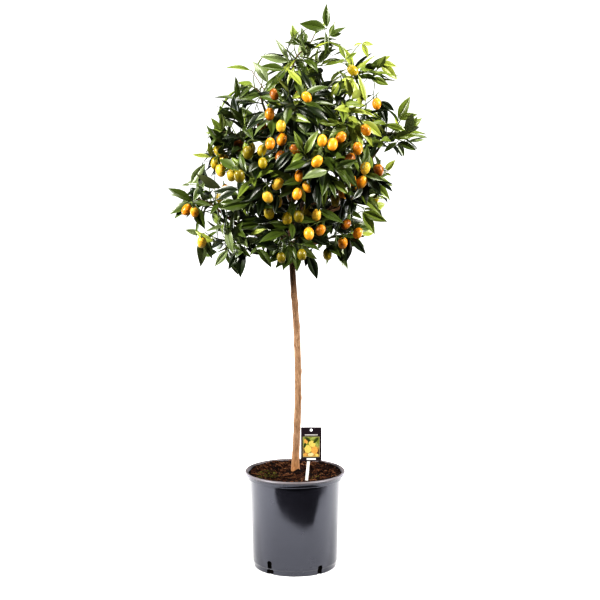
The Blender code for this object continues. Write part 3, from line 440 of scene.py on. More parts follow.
class Cell:
    """The space of one mass: its side of a plane toward every other mass, and its own reach."""

    def __init__(self, index):
        name, centre, radii, *_ = MASSES[index]
        self.centre, self.radii = Vector(centre), Vector(radii)
        self.planes = []
        mine = (radii[0] * radii[1] * radii[2]) ** (1 / 3)
        for other, middle, (a, b, c), *_ in MASSES:
            if other == name:
                continue
            theirs = (a * b * c) ** (1 / 3)
            n = Vector(middle) - self.centre
            far = n.length
            n.normalize()
            reach = far / 2 + (mine ** 2 - theirs ** 2) / (2 * far) - CELL_GAP / 2
            self.planes.append((n, n.dot(self.centre) + reach))

    def at(self, way, share):
        """The point at a share of the ellipsoid's radius."""
        return self.centre + Vector([way[j] * self.radii[j] * share for j in range(3)])

    def room(self, p):
        """Distance to the nearest wall of the cell, negative outside it."""
        return min(reach - n.dot(p) for n, reach in self.planes)

    def spread(self, p):
        """1 on the mass's own ellipsoid."""
        d = p - self.centre
        return sqrt(sum((d[k] / self.radii[k]) ** 2 for k in range(3)))

    def inward(self, p, room):
        """The point moved toward the centre until it has that room."""
        for _ in range(40):
            if self.room(p) >= room:
                return p
            p = p.lerp(self.centre, 0.05)
        return p


def fibonacci(k, n, turn):
    """The k-th of n directions spread evenly over a sphere."""
    z = 1 - 2 * (k + 0.5) / n
    return polar(sqrt(1 - z * z), GOLDEN * k + turn, z)


class Mass:
    """The stem, shoots and clusters of one mass, as its solid has them."""

    def __init__(self, index, limbs, wood):
        self.name, _, _, tip, parent, _ = MASSES[index]
        self.index, self.wood = index, wood
        self.cell = Cell(index)
        line = limbs[self.name if parent else "trunk"][0]
        d = (line[-1] - line[-2]).normalized()
        foot = line[-1] + d * GAP
        tip = Vector(tip)
        span = (tip - foot).length
        last = (tip - self.cell.centre).normalized()
        end = tip - last * LEAF_SPAN * 0.97
        self.stem = (foot, foot + d * span * 0.3, end - last * span * 0.3, end)
        self.shoots, self.fruit = [bezier(*self.stem, 4)], []
        self.trees = [tube_tree(self.shoots[0], STEM_R)]

    def fill(self):
        """More shoots, toward the sides of the mass that have none."""
        turn = random.Random(SEED * 100 + self.index).uniform(0, 6.28)
        rng = random.Random(SEED * 200 + self.index)
        for k in range(SHOOTS + SPARE):
            if len(self.shoots) > SHOOTS:
                break
            way = fibonacci(k, SHOOTS + SPARE, turn)
            at = self.cell.at(way, rng.uniform(*SHOOT_REACH))
            if self.cell.room(at) < -SHOOT_OVER:
                continue
            at = self.cell.inward(at, SHOOT_INSET)
            if all((at - line[-1]).length >= SHOOT_GAP for line in self.shoots):
                self.branch(at)

    def branch(self, tip, past=0.0):
        """A shoot from the best place on the stem to the tip or past it. False where it has no way."""
        feet = []
        for k in range(FEET):
            foot, d, _ = along(self.shoots[0], 0.05 + 0.90 * k / (FEET - 1))
            to = tip - foot
            if to.length > 0.012:
                feet.append((abs(d.angle(to) - FORK) + 4 * to.length, k, foot))
        for _, _, foot in sorted(feet)[:BEST_FEET]:
            line = [foot, tip + (tip - foot).normalized() * past]
            room = min(self.cell.room(p) for p in line)
            if room < SHOOT_CLEAR or tube_tree(line, TWIG_R).overlap(self.wood):
                continue
            tree = tube_tree([foot.lerp(tip, 0.2), tip], TWIG_R)
            if not any(tree.overlap(other) for other in self.trees):
                self.trees.append(tree)
                self.shoots.append(line)
                return True
        return False

    def hang_fruit(self, at, count, rng):
        """A cluster that hangs from the tip of its own shoot. Returns how many there is room for."""
        turn = rng.uniform(0, 6.28)
        ways = []
        for k in range(count):
            lean = rng.uniform(*(LONE_LEAN if count == 1 else CLUSTER_LEAN))
            if k == 3:
                lean = 0.05
            a = turn + 2 * pi * k / min(count, 3) + rng.uniform(-0.15, 0.15)
            ways.append(polar(sin(lean), a, -cos(lean)))
        arm = STALK + FRUIT_L / 2
        node = self.cell.inward(at - sum(ways, Vector()) / count * arm, 0.008)
        made = []
        for way in ways:
            size = rng.uniform(*FRUIT_SIZES)
            half, r = half_sizes(size)
            middle = node + way * (STALK + half)
            ends = [middle + way * half, middle - way * half * 0.8]
            skin = [middle + r * Vector(q) for q in ((1, 0, 0), (-1, 0, 0), (0, 1, 0), (0, -1, 0))]
            if min(self.cell.room(p) for p in ends + skin) < 0.001:
                continue
            if fruit_tree(middle, way, size).overlap(self.wood):
                continue
            if not apart((middle, way, size), self.fruit + made, SOLID_FRUIT_GAP):
                continue
            made.append((middle, way, size))
        trees = [fruit_tree(*fruit) for fruit in made]
        if not made or any(tree.overlap(other) for tree in trees for other in self.trees):
            return 0
        if not self.branch(node, STALK_SUNK):
            return 0
        self.trees += trees
        self.fruit += made
        return len(made)


def half_sizes(size):
    """Half the length and half the width of a fruit."""
    return FRUIT_L * size / 2, FRUIT_D * size / 2


def gap_between(p, d, q, e):
    """Least distance between the cores of two fruits."""
    reach = (FRUIT_L - FRUIT_D) / 2
    return min((p + d * s - q - e * t).length for s in (-reach, 0, reach) for t in (-reach, 0, reach))


def apart(fruit, others, gap):
    """True where the fruit is clear of the others."""
    middle, way, size = fruit
    return all(gap_between(middle, way, at, axis) > FRUIT_D * (size + other) / 2 + gap
               for at, axis, other, *_ in others)


def fruit_tree(at, axis, size):
    half, r = half_sizes(size)
    shares = ((-1, 0.05), (-0.72, 0.72), (0.0, 1.0), (0.72, 0.72), (1, 0.05))
    return BVHTree.FromPolygons(*tube([at + axis * half * s for s, _ in shares],
                                      [r * w for _, w in shares], 6))


def lay_sprigs(masses):
    """A shoot toward each sprig's tip, in the mass whose cell holds it, with room for its last leaf."""
    for tip in SPRIGS:
        mass = max(masses, key=lambda m: m.cell.room(tip))
        out = tip - mass.cell.centre
        last = clamp(out.length * 0.6, LEAF_SPAN * 0.62, LEAF_SPAN)
        mass.branch(tip - out.normalized() * last)


def lay_fruit(masses):
    """The clusters at the front, each in the first mass met on its line of sight, then those behind."""
    eye = CLUSTERS_SEEN_FROM
    rng = random.Random(SEED)
    for x, z, count in FRUIT:
        aim = (Vector((x / 1000, 0, z / 1000)) - eye) / -eye.y
        for k in range(SIGHT_STEPS):
            at = eye + aim * (-eye.y - SIGHT_FROM + SIGHT_STEP * k)
            mass = max(masses, key=lambda m: m.cell.room(at))
            if mass.cell.room(at) > CLUSTER_ROOM and mass.cell.spread(at) < CLUSTER_REACH:
                if mass.hang_fruit(at, count, rng):
                    break
    front = [fruit for mass in masses for fruit in mass.fruit]
    for mass in masses:
        if mass.cell.centre.y < BACK_Y:
            continue
        rng = random.Random(SEED * 10 + mass.index)
        for _ in range(BACK_CLUSTERS):
            way = Vector((rng.uniform(-1, 1), rng.uniform(0.5, 1.2), rng.uniform(-0.9, 0.7))).normalized()
            mass.hang_fruit(mass.cell.inward(mass.cell.at(way, 0.7), 0.02), rng.choice((1, 2, 2)), rng)
    behind = [fruit for mass in masses for fruit in mass.fruit if fruit not in front]
    return front, behind


# ---------------------------------------------------------------- the crown carried on
def seen_at(p):
    """(x, z) where the line of sight through p meets the plane y = 0."""
    q = SEEN_FROM + (p - SEEN_FROM) * (-SEEN_FROM.y / (p.y - SEEN_FROM.y))
    return q.x, q.z


def depth_in_outline(x, z):
    """How far (x, z) lies inside the outline, or with a minus sign how far outside."""
    inside, near = False, 1e9
    for (ax, az), (bx, bz) in zip(OUTLINE, OUTLINE[1:] + OUTLINE[:1]):
        if (az > z) != (bz > z) and x < ax + (bx - ax) * (z - az) / (bz - az):
            inside = not inside
        ex, ez = bx - ax, bz - az
        t = clamp(((x - ax) * ex + (z - az) * ez) / (ex * ex + ez * ez), 0, 1)
        near = min(near, hypot(x - ax - t * ex, z - az - t * ez))
    return near if inside else -near


def inside_outline(x, z, slack=0.004):
    """True inside the outline, or within slack of it, and clear of the holes."""
    return all(hypot(x - hx, z - hz) >= r for hx, hz, r in HOLES) and depth_in_outline(x, z) > -slack


class Crown:
    """All twigs, fruit and leaves, each kept clear of the others."""

    CUBE = 0.045  # edge of the cubes by which near pieces are found

    def __init__(self, masses, wood):
        self.masses, self.wood = masses, wood
        self.twigs = []  # (line, foot radius, tip radius, green 0 to 1)
        self.fruit = []  # (middle, axis, size, ripeness)
        self.leaves = []  # (root, way, face, length, width, bend, tone)
        self.grid = {}
        self.points = []  # (point, direction) on twigs, where more can start

    def cube(self, p):
        return tuple(int(floor(c / self.CUBE)) for c in p)

    def near(self, p):
        """All that is kept in the cubes round p."""
        for cube in product(*((c - 1, c, c + 1) for c in self.cube(p))):
            yield from self.grid.get(cube, ())

    def keep(self, kind, middle, data):
        self.grid.setdefault(self.cube(middle), []).append((kind, middle, data))

    def add_twig(self, line, foot_r, tip_r, green):
        """Keeps the twig, and its points as places where more can start."""
        self.twigs.append((line, foot_r, tip_r, green))
        for i, (a, b) in enumerate(zip(line, line[1:])):
            r = foot_r + (tip_r - foot_r) * (i + 0.5) / len(line)
            self.keep("twig", (a + b) / 2, tube_tree([a, b], r))
        self.points += [(line[i], tangent(line, i)) for i in range(1, len(line))]

    def nearest(self, p, below=0.0):
        """The point on a twig nearest to p, where those below p count as further off by that share."""
        return min(self.points, key=lambda q: (q[0] - p).length + below * max(0, p.z - q[0].z))

    def clear_of(self, tree, middle, kinds):
        """True where the solid meets no wood and nothing of those kinds."""
        return not tree.overlap(self.wood) and not any(
            kind in kinds and tree.overlap(data)
            for kind, at, data in self.near(middle) if (at - middle).length < NEAR)

    def grow_shoots(self):
        """The solids' stems and shoots, bent as grown wood is."""
        for mass in self.masses:
            rng = random.Random(SEED * 31 + mass.index)
            stem = bezier(*mass.stem, 16)
            self.add_twig(stem, *STEM)
            mass.lines = [stem]
            for a, b in mass.shoots[1:]:
                d = b - a
                u, v = across(d.normalized())
                bow = d.length * rng.uniform(0.03, 0.10)
                off = bow * turned(u, v, rng.uniform(0, 6.28)) - UP * d.length * 0.03
                bent = bezier(a, a.lerp(b, 0.33) + off, a.lerp(b, 0.7) + off * 0.8, b, 7)
                self.add_twig(bent, *SHOOT)
                mass.lines.append(bent)

    def hang_fruit(self, front, behind):
        """The fruit that shows, each at the depth of the cluster that stands for it, and the rest."""
        rng = random.Random(SEED + 5)
        seen = [(seen_at(f[0]), f) for f in front]
        for x, z, ripe in SHOWN_FRUIT:
            x, z = x / 1000, z / 1000
            _, near = min(seen, key=lambda s: hypot(s[0][0] - x, s[0][1] - z))
            back = 0.022 if ripe == 5 else 0  # the deepest orange lies in the shade of the foliage
            aim = (Vector((x, 0, z)) - SEEN_FROM) / -SEEN_FROM.y
            lean, turn = rng.uniform(0.05, 1.0), rng.uniform(0, 6.28)
            way = Vector((sin(lean) * cos(turn), sin(lean) * sin(turn) * 0.6, -cos(lean))).normalized()
            size = rng.uniform(*SHOWN_SIZES)
            for k in range(14):
                y = near[0].y + back + 0.012 * ((k + 1) // 2) * (1 if k % 2 else -1)
                middle = SEEN_FROM + aim * (y - SEEN_FROM.y)
                fruit = middle, way, size
                if apart(fruit, self.fruit, FRUIT_GAP) and not fruit_tree(*fruit).overlap(self.wood):
                    self.add_fruit(*fruit, ripe)
                    break
        self.shown = len(self.fruit)
        for fruit in behind:
            if apart(fruit, self.fruit, FRUIT_GAP):
                self.add_fruit(*fruit, rng.choice((0, 1, 2, 3, 3, 4, 4, 5)))

    def add_fruit(self, middle, way, size, ripe):
        self.fruit.append((middle, way, size, ripe))
        self.keep("fruit", middle, fruit_tree(middle, way, size))
        top = middle - way * (half_sizes(size)[0] + STALK * 0.75)
        foot, _ = self.nearest(top, 0.4)
        span = (top - foot).length
        if span > 0.003:
            line = bezier(foot, foot.lerp(top, 0.4) + UP * span * 0.12, top - way * span * 0.3, top, 6)
            self.add_twig(line, *FRUIT_TWIG)

    def grow_twigs(self):
        """Finer twigs toward the places that have no tip yet."""
        tries, stride = 110, 47  # directions to a mass, and the step through them that spreads the first ones
        for mass in self.masses:
            cell = mass.cell
            rng = random.Random(SEED * 37 + mass.index)
            turn = rng.uniform(0, 6.28)
            own = [(p, line, i) for line in mass.lines for i, p in enumerate(line) if i > len(line) * 0.3]
            tips = [line[-1] for line in mass.lines]
            made = 0
            for k in range(tries):
                if made >= TWIGS:
                    break
                way = fibonacci(k * stride % tries, tries, turn)
                at = cell.at(way, rng.uniform(*TWIG_REACH))
                if cell.room(at) < -0.010:
                    continue
                at = cell.inward(at, 0.002)
                if not inside_outline(*seen_at(at), -0.02) or any((at - t).length < TIP_GAP for t in tips):
                    continue
                starts = sorted((((at - p).length + 0.03 * abs(tangent(line, i).angle(at - p) - 0.7), n)
                                 for n, (p, line, i) in enumerate(own) if (at - p).length > 0.015))[:5]
                for _, n in starts:
                    p, line, i = own[n]
                    span = (at - p).length
                    out = (at - cell.centre).normalized()
                    bent = bezier(p, p + tangent(line, i) * span * 0.35,
                                  at - (out + 0.3 * UP).normalized() * span * 0.3, at, 6)
                    if self.clear_of(tube_tree(bent[1:], FINE_TWIG[0]), p.lerp(at, 0.5), ("fruit",)):
                        self.add_twig(bent, *FINE_TWIG)
                        mass.lines.append(bent)
                        tips.append(at)
                        made += 1
                        break

    def lay_sprays(self):
        """The sprays that stand out in the photograph, each from the nearest wood."""
        rng = random.Random(SEED + 11)
        a, b = LONG_TWIG
        foot, _ = self.nearest(a)
        line = bezier(foot, foot.lerp(a, 0.3), foot.lerp(a, 0.7), a, 3)
        self.add_twig([*line, a.lerp(b, 0.5), b], *BARE_TWIG)
        for x, y, z, tone, *tips in SPRAYS:
            y /= 1000
            node = Vector((x / 1000, y, z / 1000))
            foot, d = self.nearest(node)
            span = (node - foot).length
            if span > 0.004:
                self.add_twig(bezier(foot, foot + d * span * 0.3, foot.lerp(node, 0.7) + UP * span * 0.05,
                                     node, 6), *SPRAY_TWIG)
            for tx, tz in tips:
                tip = Vector((tx / 1000, y + rng.uniform(-0.020, 0.012), tz / 1000))
                way = (tip - node).normalized()
                length = min((tip - node).length, LEAF_L * 1.12)
                root = tip - way * length
                if (root - node).length > 0.004:
                    self.add_twig([node, node.lerp(root, 0.5), root], *SPRAY_SIDE_TWIG)
                out = (SEEN_FROM - node).normalized() + 0.7 * UP + Vector(
                    [rng.uniform(-0.5, 0.5) for _ in range(3)])
                way = (way + SPRAY_BEND * square_to(out, way).normalized()).normalized()
                face = square_to(out, way).normalized()
                self.add_leaf(root, way, face, length, length * rng.uniform(*SPRAY_WIDTHS), rng, tone, True)

    def lay_leaves(self):
        """Leaves on every twig, from its tip back, where they have room."""
        self.screens = [(middle, (SEEN_FROM - middle).normalized(), (0.007, 0.003, 0.0)[k % 3])
                        for k, (middle, _, _, ripe) in enumerate(self.fruit[:self.shown]) if ripe < 5]
        bare = set()  # twigs that got no leaf are left out, unless something grows on them
        for mass in self.masses:
            rng = random.Random(SEED * 1000 + mass.index)
            for line in mass.lines:
                before = len(self.leaves)
                self.leaf_twig(mass, line, rng)
                if len(self.leaves) == before:
                    bare.add(id(line))
        for _ in range(4):
            feet = {tuple(twig[0][0]) for twig in self.twigs}
            self.twigs = [twig for twig in self.twigs
                          if id(twig[0]) not in bare or any(tuple(p) in feet for p in twig[0][1:])]

    def leaf_twig(self, mass, line, rng):
        length = length_of(line)
        tone = pick_tone_and_painted_light(line[-1], rng)
        lift = clamp((line[-1].z - 1.26) * 1.1, -0.30, 0.16)  # upper sprays stand, lower ones hang
        phase = rng.uniform(0, 6.28)
        rim = depth_in_outline(*seen_at(line[-1])) < RIM  # sprays at the rim are more open
        step = INTERNODE * (1.5 if rim else 1)
        for k in range(max(2, int(length * 0.86 / step))):
            share = 1 - (0.001 + step * k * (0.6 if k < 3 else 1)) / length
            if share < 0.08:
                break
            root, d, u = along(line, share)
            v = u.cross(d)
            out = ((root - HEAD) * Vector((1, 1, 0.6))).normalized()
            size = LEAF_L * rng.uniform(*LEAF_SIZES) * YOUNG[min(k, 2)] * (1.06 if rim else 1)
            jitter = [rng.uniform(-0.45, 0.45) for _ in range(4)]
            for turn in LEAF_TURNS:
                a = phase + GOLDEN * k + turn + 1.2 * jitter[1]
                tilt = radians(LEAF_TILT + LEAF_TILT_STEP * min(k, 3)) + 0.25 * jitter[0]
                way = (turned(d, turned(u, v, a), tilt) + (lift if k else 0.5 * lift) * UP).normalized()
                face = square_to((0.2 * d + 0.60 * UP + 0.90 * out + Vector(jitter[1:])).normalized(), way)
                face = face.normalized() if face.length > 0.05 else across(way)[1]
                if self.try_leaf(mass, root + way * 0.0006, way, face, size, rng, tone):
                    break

    def try_leaf(self, mass, root, way, face, length, rng, tone):
        """Adds the leaf where its cell, the outline, the fruit that shows and its neighbours leave room."""
        tip, middle = root + way * length, root + way * length * 0.55
        if any(not LOW[k] < tip[k] < HIGH[k] for k in range(3)):
            return False
        room = mass.cell.room
        if mass.cell.spread(tip) > REACH or room(tip) < -TIP_OVER or room(middle) < -MIDDLE_OVER:
            return False
        if not all(inside_outline(*seen_at(p)) for p in (tip, middle, root.lerp(tip, 0.8))):
            return False
        for at, toward, clear in self.screens:
            for p in (middle, root.lerp(tip, 0.3), root.lerp(tip, 0.8), tip):
                t = (p - at).dot(toward)
                if t > 0 and (p - at - toward * t).length < clear:
                    return False
        return self.add_leaf(root, way, face, length, length * rng.uniform(*LEAF_WIDTHS), rng, tone)

    def add_leaf(self, root, way, face, length, width, rng, tone, always=False):
        bend = (SPRAY_BEND if always else rng.uniform(0.02, 0.20), rng.uniform(-0.35, 0.35),
                rng.uniform(0.16, 0.42))
        side = way.cross(face).normalized()
        corners = []
        for t, share in ((0.10, 0.10), (0.45, 1.0), (0.75, 0.72), (1.0, 0.02)):
            p = root + way * length * t - face * length * bend[0] * t * t
            w = width / 2 * share
            corners += [p - side * w + face * w * bend[2], p, p + side * w + face * w * bend[2]]
        faces = [(3 * i + j, 3 * i + j + 1, 3 * i + j + 4, 3 * i + j + 3) for i in range(3) for j in range(2)]
        tree = BVHTree.FromPolygons(corners, faces)
        middle = root + way * length * 0.5
        if not always and not self.clear_of(tree, middle, ("leaf", "fruit", "twig")):
            return False
        self.keep("leaf", middle, tree)
        self.leaves.append((root, way, face, length, width, bend, tone))
        return True


def pick_tone_and_painted_light(p, rng):
    """The tone of a spray by its place, at random but weighted to paint light and shade: light and fresh
    tones at the upper right as painted backlight, the pale tone at the left as a painted sheen, lighter tones
    at the top as painted light, a little darker low down, and the deep tone in the middle and deep inside as
    painted shade.
    """
    x, z = seen_at(p)
    depth = (p - HEAD).length
    weights = [1.7, 2.6, 1.3, 0.25, 0.25]
    # Painted backlight: more light and fresh tones at the upper right.
    if x > 0.08 and z > 1.12:
        weights = [0.6, 1.8, 2.2, 1.3, 0.1]
    # Painted sheen: more of the pale grey-green tone at the left.
    elif x < -0.12:
        weights = [1.5, 2.2, 0.9, 0.2, 1.4]
    # Painted light: lighter tones at the top.
    elif z > 1.25:
        weights = [0.8, 2.4, 1.8, 0.6, 0.5]
    elif z < 0.92:
        weights = [2.4, 2.4, 1.0, 0.3, 0.2]
    # Painted shade: mostly the deep tone in the middle of the crown.
    elif -0.10 < x < 0.16 and z < 1.24:
        weights = [7.0, 2.0, 0.5, 0.1, 0.1]
    # Painted shade: the deep tone weighs more deep inside the crown.
    if depth < 0.24:
        weights[0] += 7.0 * (0.30 - depth) / 0.12
    return rng.choices(range(5), weights)[0]


# ---------------------------------------------------------------- meshes
class Skin:
    """Points, faces and material numbers gathered for one piece."""

    def __init__(self):
        self.verts, self.faces, self.mats = [], [], []

    def add(self, verts, faces, mat=0):
        base = len(self.verts)
        self.verts += [tuple(v) for v in verts]
        self.faces += [tuple(i + base for i in f) for f in faces]
        self.mats += [mat] * len(faces) if isinstance(mat, int) else list(mat)

    def mesh(self, name):
        mesh = bpy.data.meshes.new(name)
        mesh.from_pydata(self.verts, [], self.faces)
        mesh.polygons.foreach_set("material_index", self.mats)
        mesh.update()
        return mesh

    def piece(self, name, mats, slot, nodes=(), sharp=40):
        """The gathered mesh as a piece, with the sharp angle in degrees, or 0 for none."""
        mesh = self.mesh(name)
        obj = add_object(name, mesh)
        for mat in mats:
            mesh.materials.append(mat)
        smooth(mesh, sharp)
        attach(obj, "root")
        if nodes:
            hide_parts(*nodes)
        return obj


def add_object(name, data):
    obj = bpy.data.objects.new(name, data)
    bpy.context.collection.objects.link(obj)
    return obj


def smooth(mesh, sharp):
    mesh.polygons.foreach_set("use_smooth", [True] * len(mesh.polygons))
    if sharp:
        mesh.set_sharp_from_angle(angle=radians(sharp))


def hill(x, width):
    return exp(-(x / width) ** 2)


def fan(sides):
    """Faces round the point 0 to the row of points after it."""
    return [(0, 1 + k, 1 + (k + 1) % sides) for k in range(sides)]


LEAF_ROWS = ((0.0, 0.050), (0.065, 0.060), (0.15, 0.42), (0.28, 0.80), (0.44, 1.0), (0.62, 0.87),
             (0.79, 0.53), (0.92, 0.19))  # share of the length, share of the half width
LEAF_S = (-1.0, -0.5, 0.0, 0.5, 1.0)  # across the top of each row, beside one point of the underside


def leaf_points(leaf, rng):
    """One leaf: folded along its midrib, each half domed, arched, twisted and waved a little."""
    root, way, face, length, width, (arch, twist, fold), _ = leaf
    side = way.cross(face).normalized()
    wave, phase = rng.uniform(0.0, 0.10), rng.uniform(0, 6.28)
    curl, dome = rng.uniform(-0.05, 0.05), rng.uniform(0.10, 0.22)
    spots = []  # across, share of the length, height
    for t, w in LEAF_ROWS:
        hw = w * width / 2
        for s in LEAF_S:
            lift = fold * abs(s) * hw + (dome * hw if abs(s) == 0.5 else 0)
            lift += wave * hw * sin(9 * t + phase + (1.5 if s > 0 else 0)) * abs(s)
            spots.append((s * hw, t, lift))
        spots.append((0, t, -0.0006 - 0.0006 * (1 - t)))
    for x, t, z in (*spots, (0, 1.0, -0.0001)):
        turn = twist * t
        x, z = x * cos(turn) - z * sin(turn), x * sin(turn) + z * cos(turn)
        drop = arch * t * t + (0.5 * arch * t ** 4 if arch > 0.1 else 0)
        yield (root + way * length * (t - 0.35 * arch * arch * t ** 3)
               + side * (x + curl * length * t * t) + face * (z - drop * length))


def leaf_piece(name, leaves, mats, nodes=()):
    """The leaves as one mesh, with (across, along) of each leaf as its UV map."""
    rng = random.Random(SEED + len(leaves))
    tip = 6 * len(LEAF_ROWS)
    faces = [*bands(0, len(LEAF_ROWS), 6), *((tip - 6 + j, tip - 6 + (j + 1) % 6, tip) for j in range(6)),
             (5, 4, 3, 2, 1, 0)]
    under = [int(f % 6 > 3 or f == len(faces) - 1) for f in range(len(faces))]
    skin = Skin()
    for leaf in leaves:
        skin.add(leaf_points(leaf, rng), faces, under)
    obj = skin.piece(name, mats, "foliage", nodes, 34)
    uv = [(0.5 + 0.5 * s, t) for t, _ in LEAF_ROWS for s in (*LEAF_S, 0.0)] + [(0.5, 1.0)]
    layer = obj.data.uv_layers.new(name="leaf")
    layer.data.foreach_set("uv", [c for f in faces for i in f for c in uv[i]] * len(leaves))


def fruit_body(skin, middle, way, size, ripe, rng):
    """A smooth oval, fuller toward its free end, its skin mottled and less ripe toward the stalk."""
    u, v = across(way)
    half, r = half_sizes(size)
    sides, rows = 20, 14
    swell = rng.uniform(-0.04, 0.06)
    verts = [middle + way * half * 0.995]
    for i in range(1, rows):
        c, s = cos(pi * i / rows), sin(pi * i / rows)
        w = r * s ** 0.94 * (1 + swell * c)
        h = half * c
        if i == rows - 1:
            h += half * 0.03
        for a in circle(sides):
            rib = 1 + 0.012 * sin(3 * a + 7 * swell)
            verts.append(middle + way * h + turned(u, v, a) * w * rib)
    last = len(verts)
    verts.append(middle - way * half * 0.955)
    faces = fan(sides) + [(a, d, c, b) for a, b, c, d in bands(1, rows - 1, sides)]
    a = last - sides
    faces += [(a + k, last, a + (k + 1) % sides) for k in range(sides)]
    own = ripe + rng.uniform(-0.2, 0.2)
    mats = []
    for face in faces:
        p = sum((verts[i] for i in face), Vector()) / len(face)
        high = (middle - p).dot(way) / half
        tone = own + 0.9 * noise.noise(p * 90) + 0.5 * noise.noise(p * 260) - 0.7 * max(0, high - 0.35)
        mats.append(clamp(round(2 * tone), 0, 10))
    skin.add(verts, faces, mats)


def calyx_lobes(i, a, at, out):
    return 1 + (0.22 * cos(5 * a) if i in (1, 2) else 0)


def fruit_stalk(skin, middle, way, size):
    """The green calyx on the fruit's shoulder, and the stalk."""
    half, _ = half_sizes(size)
    top = middle - way * half * 0.985
    line = [middle - way * half * 0.93, top,
            *(top - way * up for up in (0.0008, 0.0016, 0.004, STALK + 0.0012))]
    skin.add(*tube(line, (0.0022, 0.0034, 0.0031, 0.0015, 0.0011, 0.0010), 10, calyx_lobes))


def make_fruit(crown):
    halves = [tuple((a + b) / 2 for a, b in zip(*pair)) for pair in zip(SKINS, SKINS[1:])]
    steps = [c for pair in zip(SKINS, halves) for c in pair] + [SKINS[-1]]
    rng = random.Random(SEED + 9)
    bodies, stalks = Skin(), Skin()
    for middle, way, size, ripe in crown.fruit:
        fruit_body(bodies, middle, way, size, ripe, rng)
        fruit_stalk(stalks, middle, way, size)
    bodies.piece("kumquats", [fruit_look(f"fruit_{k}", c) for k, c in enumerate(steps)], "foliage", (), 60)
    green = twig_look("calyx", (0.040, 0.060, 0.012), (0.100, 0.135, 0.030))
    stalks.piece("kumquat_stalks", [green], "foliage", (), 50)


def dense(values, at):
    """The value at a place 0 to 1 along a list."""
    x = at * (len(values) - 1)
    i = min(int(x), len(values) - 2)
    return values[i] + (values[i + 1] - values[i]) * (x - i)


KNOTS = ((0.696, 1.75), (0.637, 1.35), (0.519, 1.55), (0.719, -1.45), (0.591, -1.7), (0.449, 1.9),
         (0.384, -2.1), (0.818, 2.9), (0.560, 3.0))  # height, turn from the back


def bark_relief(i, a, at, out):
    """Swellings, knots and fine upright ridges of the trunk."""
    r = 1 + 0.035 * noise.noise(Vector((at.x * 20, at.y * 20, at.z * 9)) + out * 1.2)
    r += 0.030 * noise.noise(Vector((cos(a) * 3.5, sin(a) * 3.5, at.z * 26)))
    r += 0.022 * noise.noise(Vector((cos(a) * 9, sin(a) * 9, at.z * 60)))
    for z, turn in KNOTS:
        bend = (a - turn + pi) % (2 * pi) - pi
        r += 0.17 * hill(at.z - z, 0.009) * hill(bend, 0.75) + 0.03 * hill(at.z - z, 0.005)
    low = clamp((0.297 - at.z) / 0.047, 0, 1)
    return r + low * low * (0.11 * cos(3 * a + 0.8) + 0.05 * cos(5 * a))


def make_bark(limbs):
    skin = Skin()
    line = smooth_line(TRUNK_LINE, 34)
    line.insert(0, line[0] - Vector((0, 0, 0.006)))
    skin.add(*tube(line, [table(TRUNK_R, p.z) for p in line], 40, bark_relief))
    for name, (path, radii, curve) in limbs.items():
        if not curve:
            continue
        a, *_, out = curve
        steps = round(length_of(path) / 0.004)
        widths = [dense(radii, k / steps) * (1 + 0.55 * hill(k * 0.004, 0.009)) for k in range(steps + 1)]
        turn = 7.3 * len(name)

        def relief(i, a, at, out):
            r = 1 + 0.07 * noise.noise(Vector((at.x, at.y, at.z)) * 55 + out + Vector((turn, 0, 0)))
            r += 0.05 * noise.noise(Vector((cos(a) * 4, sin(a) * 4, i * 0.45 + turn)))
            return r + 0.10 * max(0, sin(i * 0.62 + turn)) ** 12
        line = [a - out * 0.0045, a - out * 0.002, *bezier(*curve[:4], steps)]
        skin.add(*tube(line, [widths[0] * 0.95, widths[0], *widths], 16, relief))
    solids = [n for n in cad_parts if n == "trunk" or n.startswith("bough_")]
    skin.piece("bark", [bark_look()], "bark", solids, 60)


def make_twigs(crown):
    skin = Skin()
    for n, (line, foot_r, tip_r, share) in enumerate(crown.twigs):
        line = [line[0] - (line[1] - line[0]).normalized() * 0.0012, *line]
        radii = [foot_r + (tip_r - foot_r) * k / (len(line) - 1) for k in range(len(line))]
        radii[0] *= 1.35
        if share > 0.5:
            radii = [r * (1 + 0.10 * sin(2.2 * k + n)) for k, r in enumerate(radii)]
        skin.add(*tube(line, radii, 7 if foot_r > 0.0013 else 6), 0 if share < 0.5 else 1)
    mats = [twig_look("twig_brown", (0.050, 0.032, 0.014), (0.140, 0.095, 0.045)),
            twig_look("twig_green", (0.050, 0.070, 0.014), (0.115, 0.150, 0.032))]
    skin.piece("twigs", mats, "foliage", (), 50)


def make_leaves(crown):
    foliage = [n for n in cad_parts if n.startswith("foliage_")]
    for tone, name in enumerate(TONES):
        mats = [leaf_look(f"leaf_{name}", LEAF_TOP[tone], False),
                leaf_look(f"leaf_{name}_under", LEAF_UNDER[tone], True)]
        leaves = [leaf for leaf in crown.leaves if leaf[-1] == tone]
        leaf_piece(f"leaves_{name}", leaves, mats, foliage if tone == 1 else ())


# ---------------------------------------------------------------- pot, soil and label
def arc(cx, cz, r, a, b, n):
    """Points of an arc in (radius, height), from angle a to b in degrees."""
    turns = [radians(a + (b - a) * k / n) for k in range(n + 1)]
    return [(cx + r * cos(t), cz + r * sin(t)) for t in turns]


def rounded(w, h, r):
    """A rectangle of half width w and half height h with rounded corners."""
    corners = ((w - r, h - r, 0), (-w + r, h - r, 90), (-w + r, -h + r, 180), (w - r, -h + r, 270))
    return [p for cx, cz, start in corners for p in arc(cx, cz, r, start, start + 90, 5)]


def stepped(w, h, r):
    """A rectangle of half width w and half height h, its corners stepped in by r."""
    a = r * (2 - sqrt(2))
    corner = ((w, h - r), (w - a, h - r), (w - r, h - a), (w - r, h))
    top = [*corner, *((-x, z) for x, z in corner[::-1])]
    return [*top, *((-x, -z) for x, z in top)]


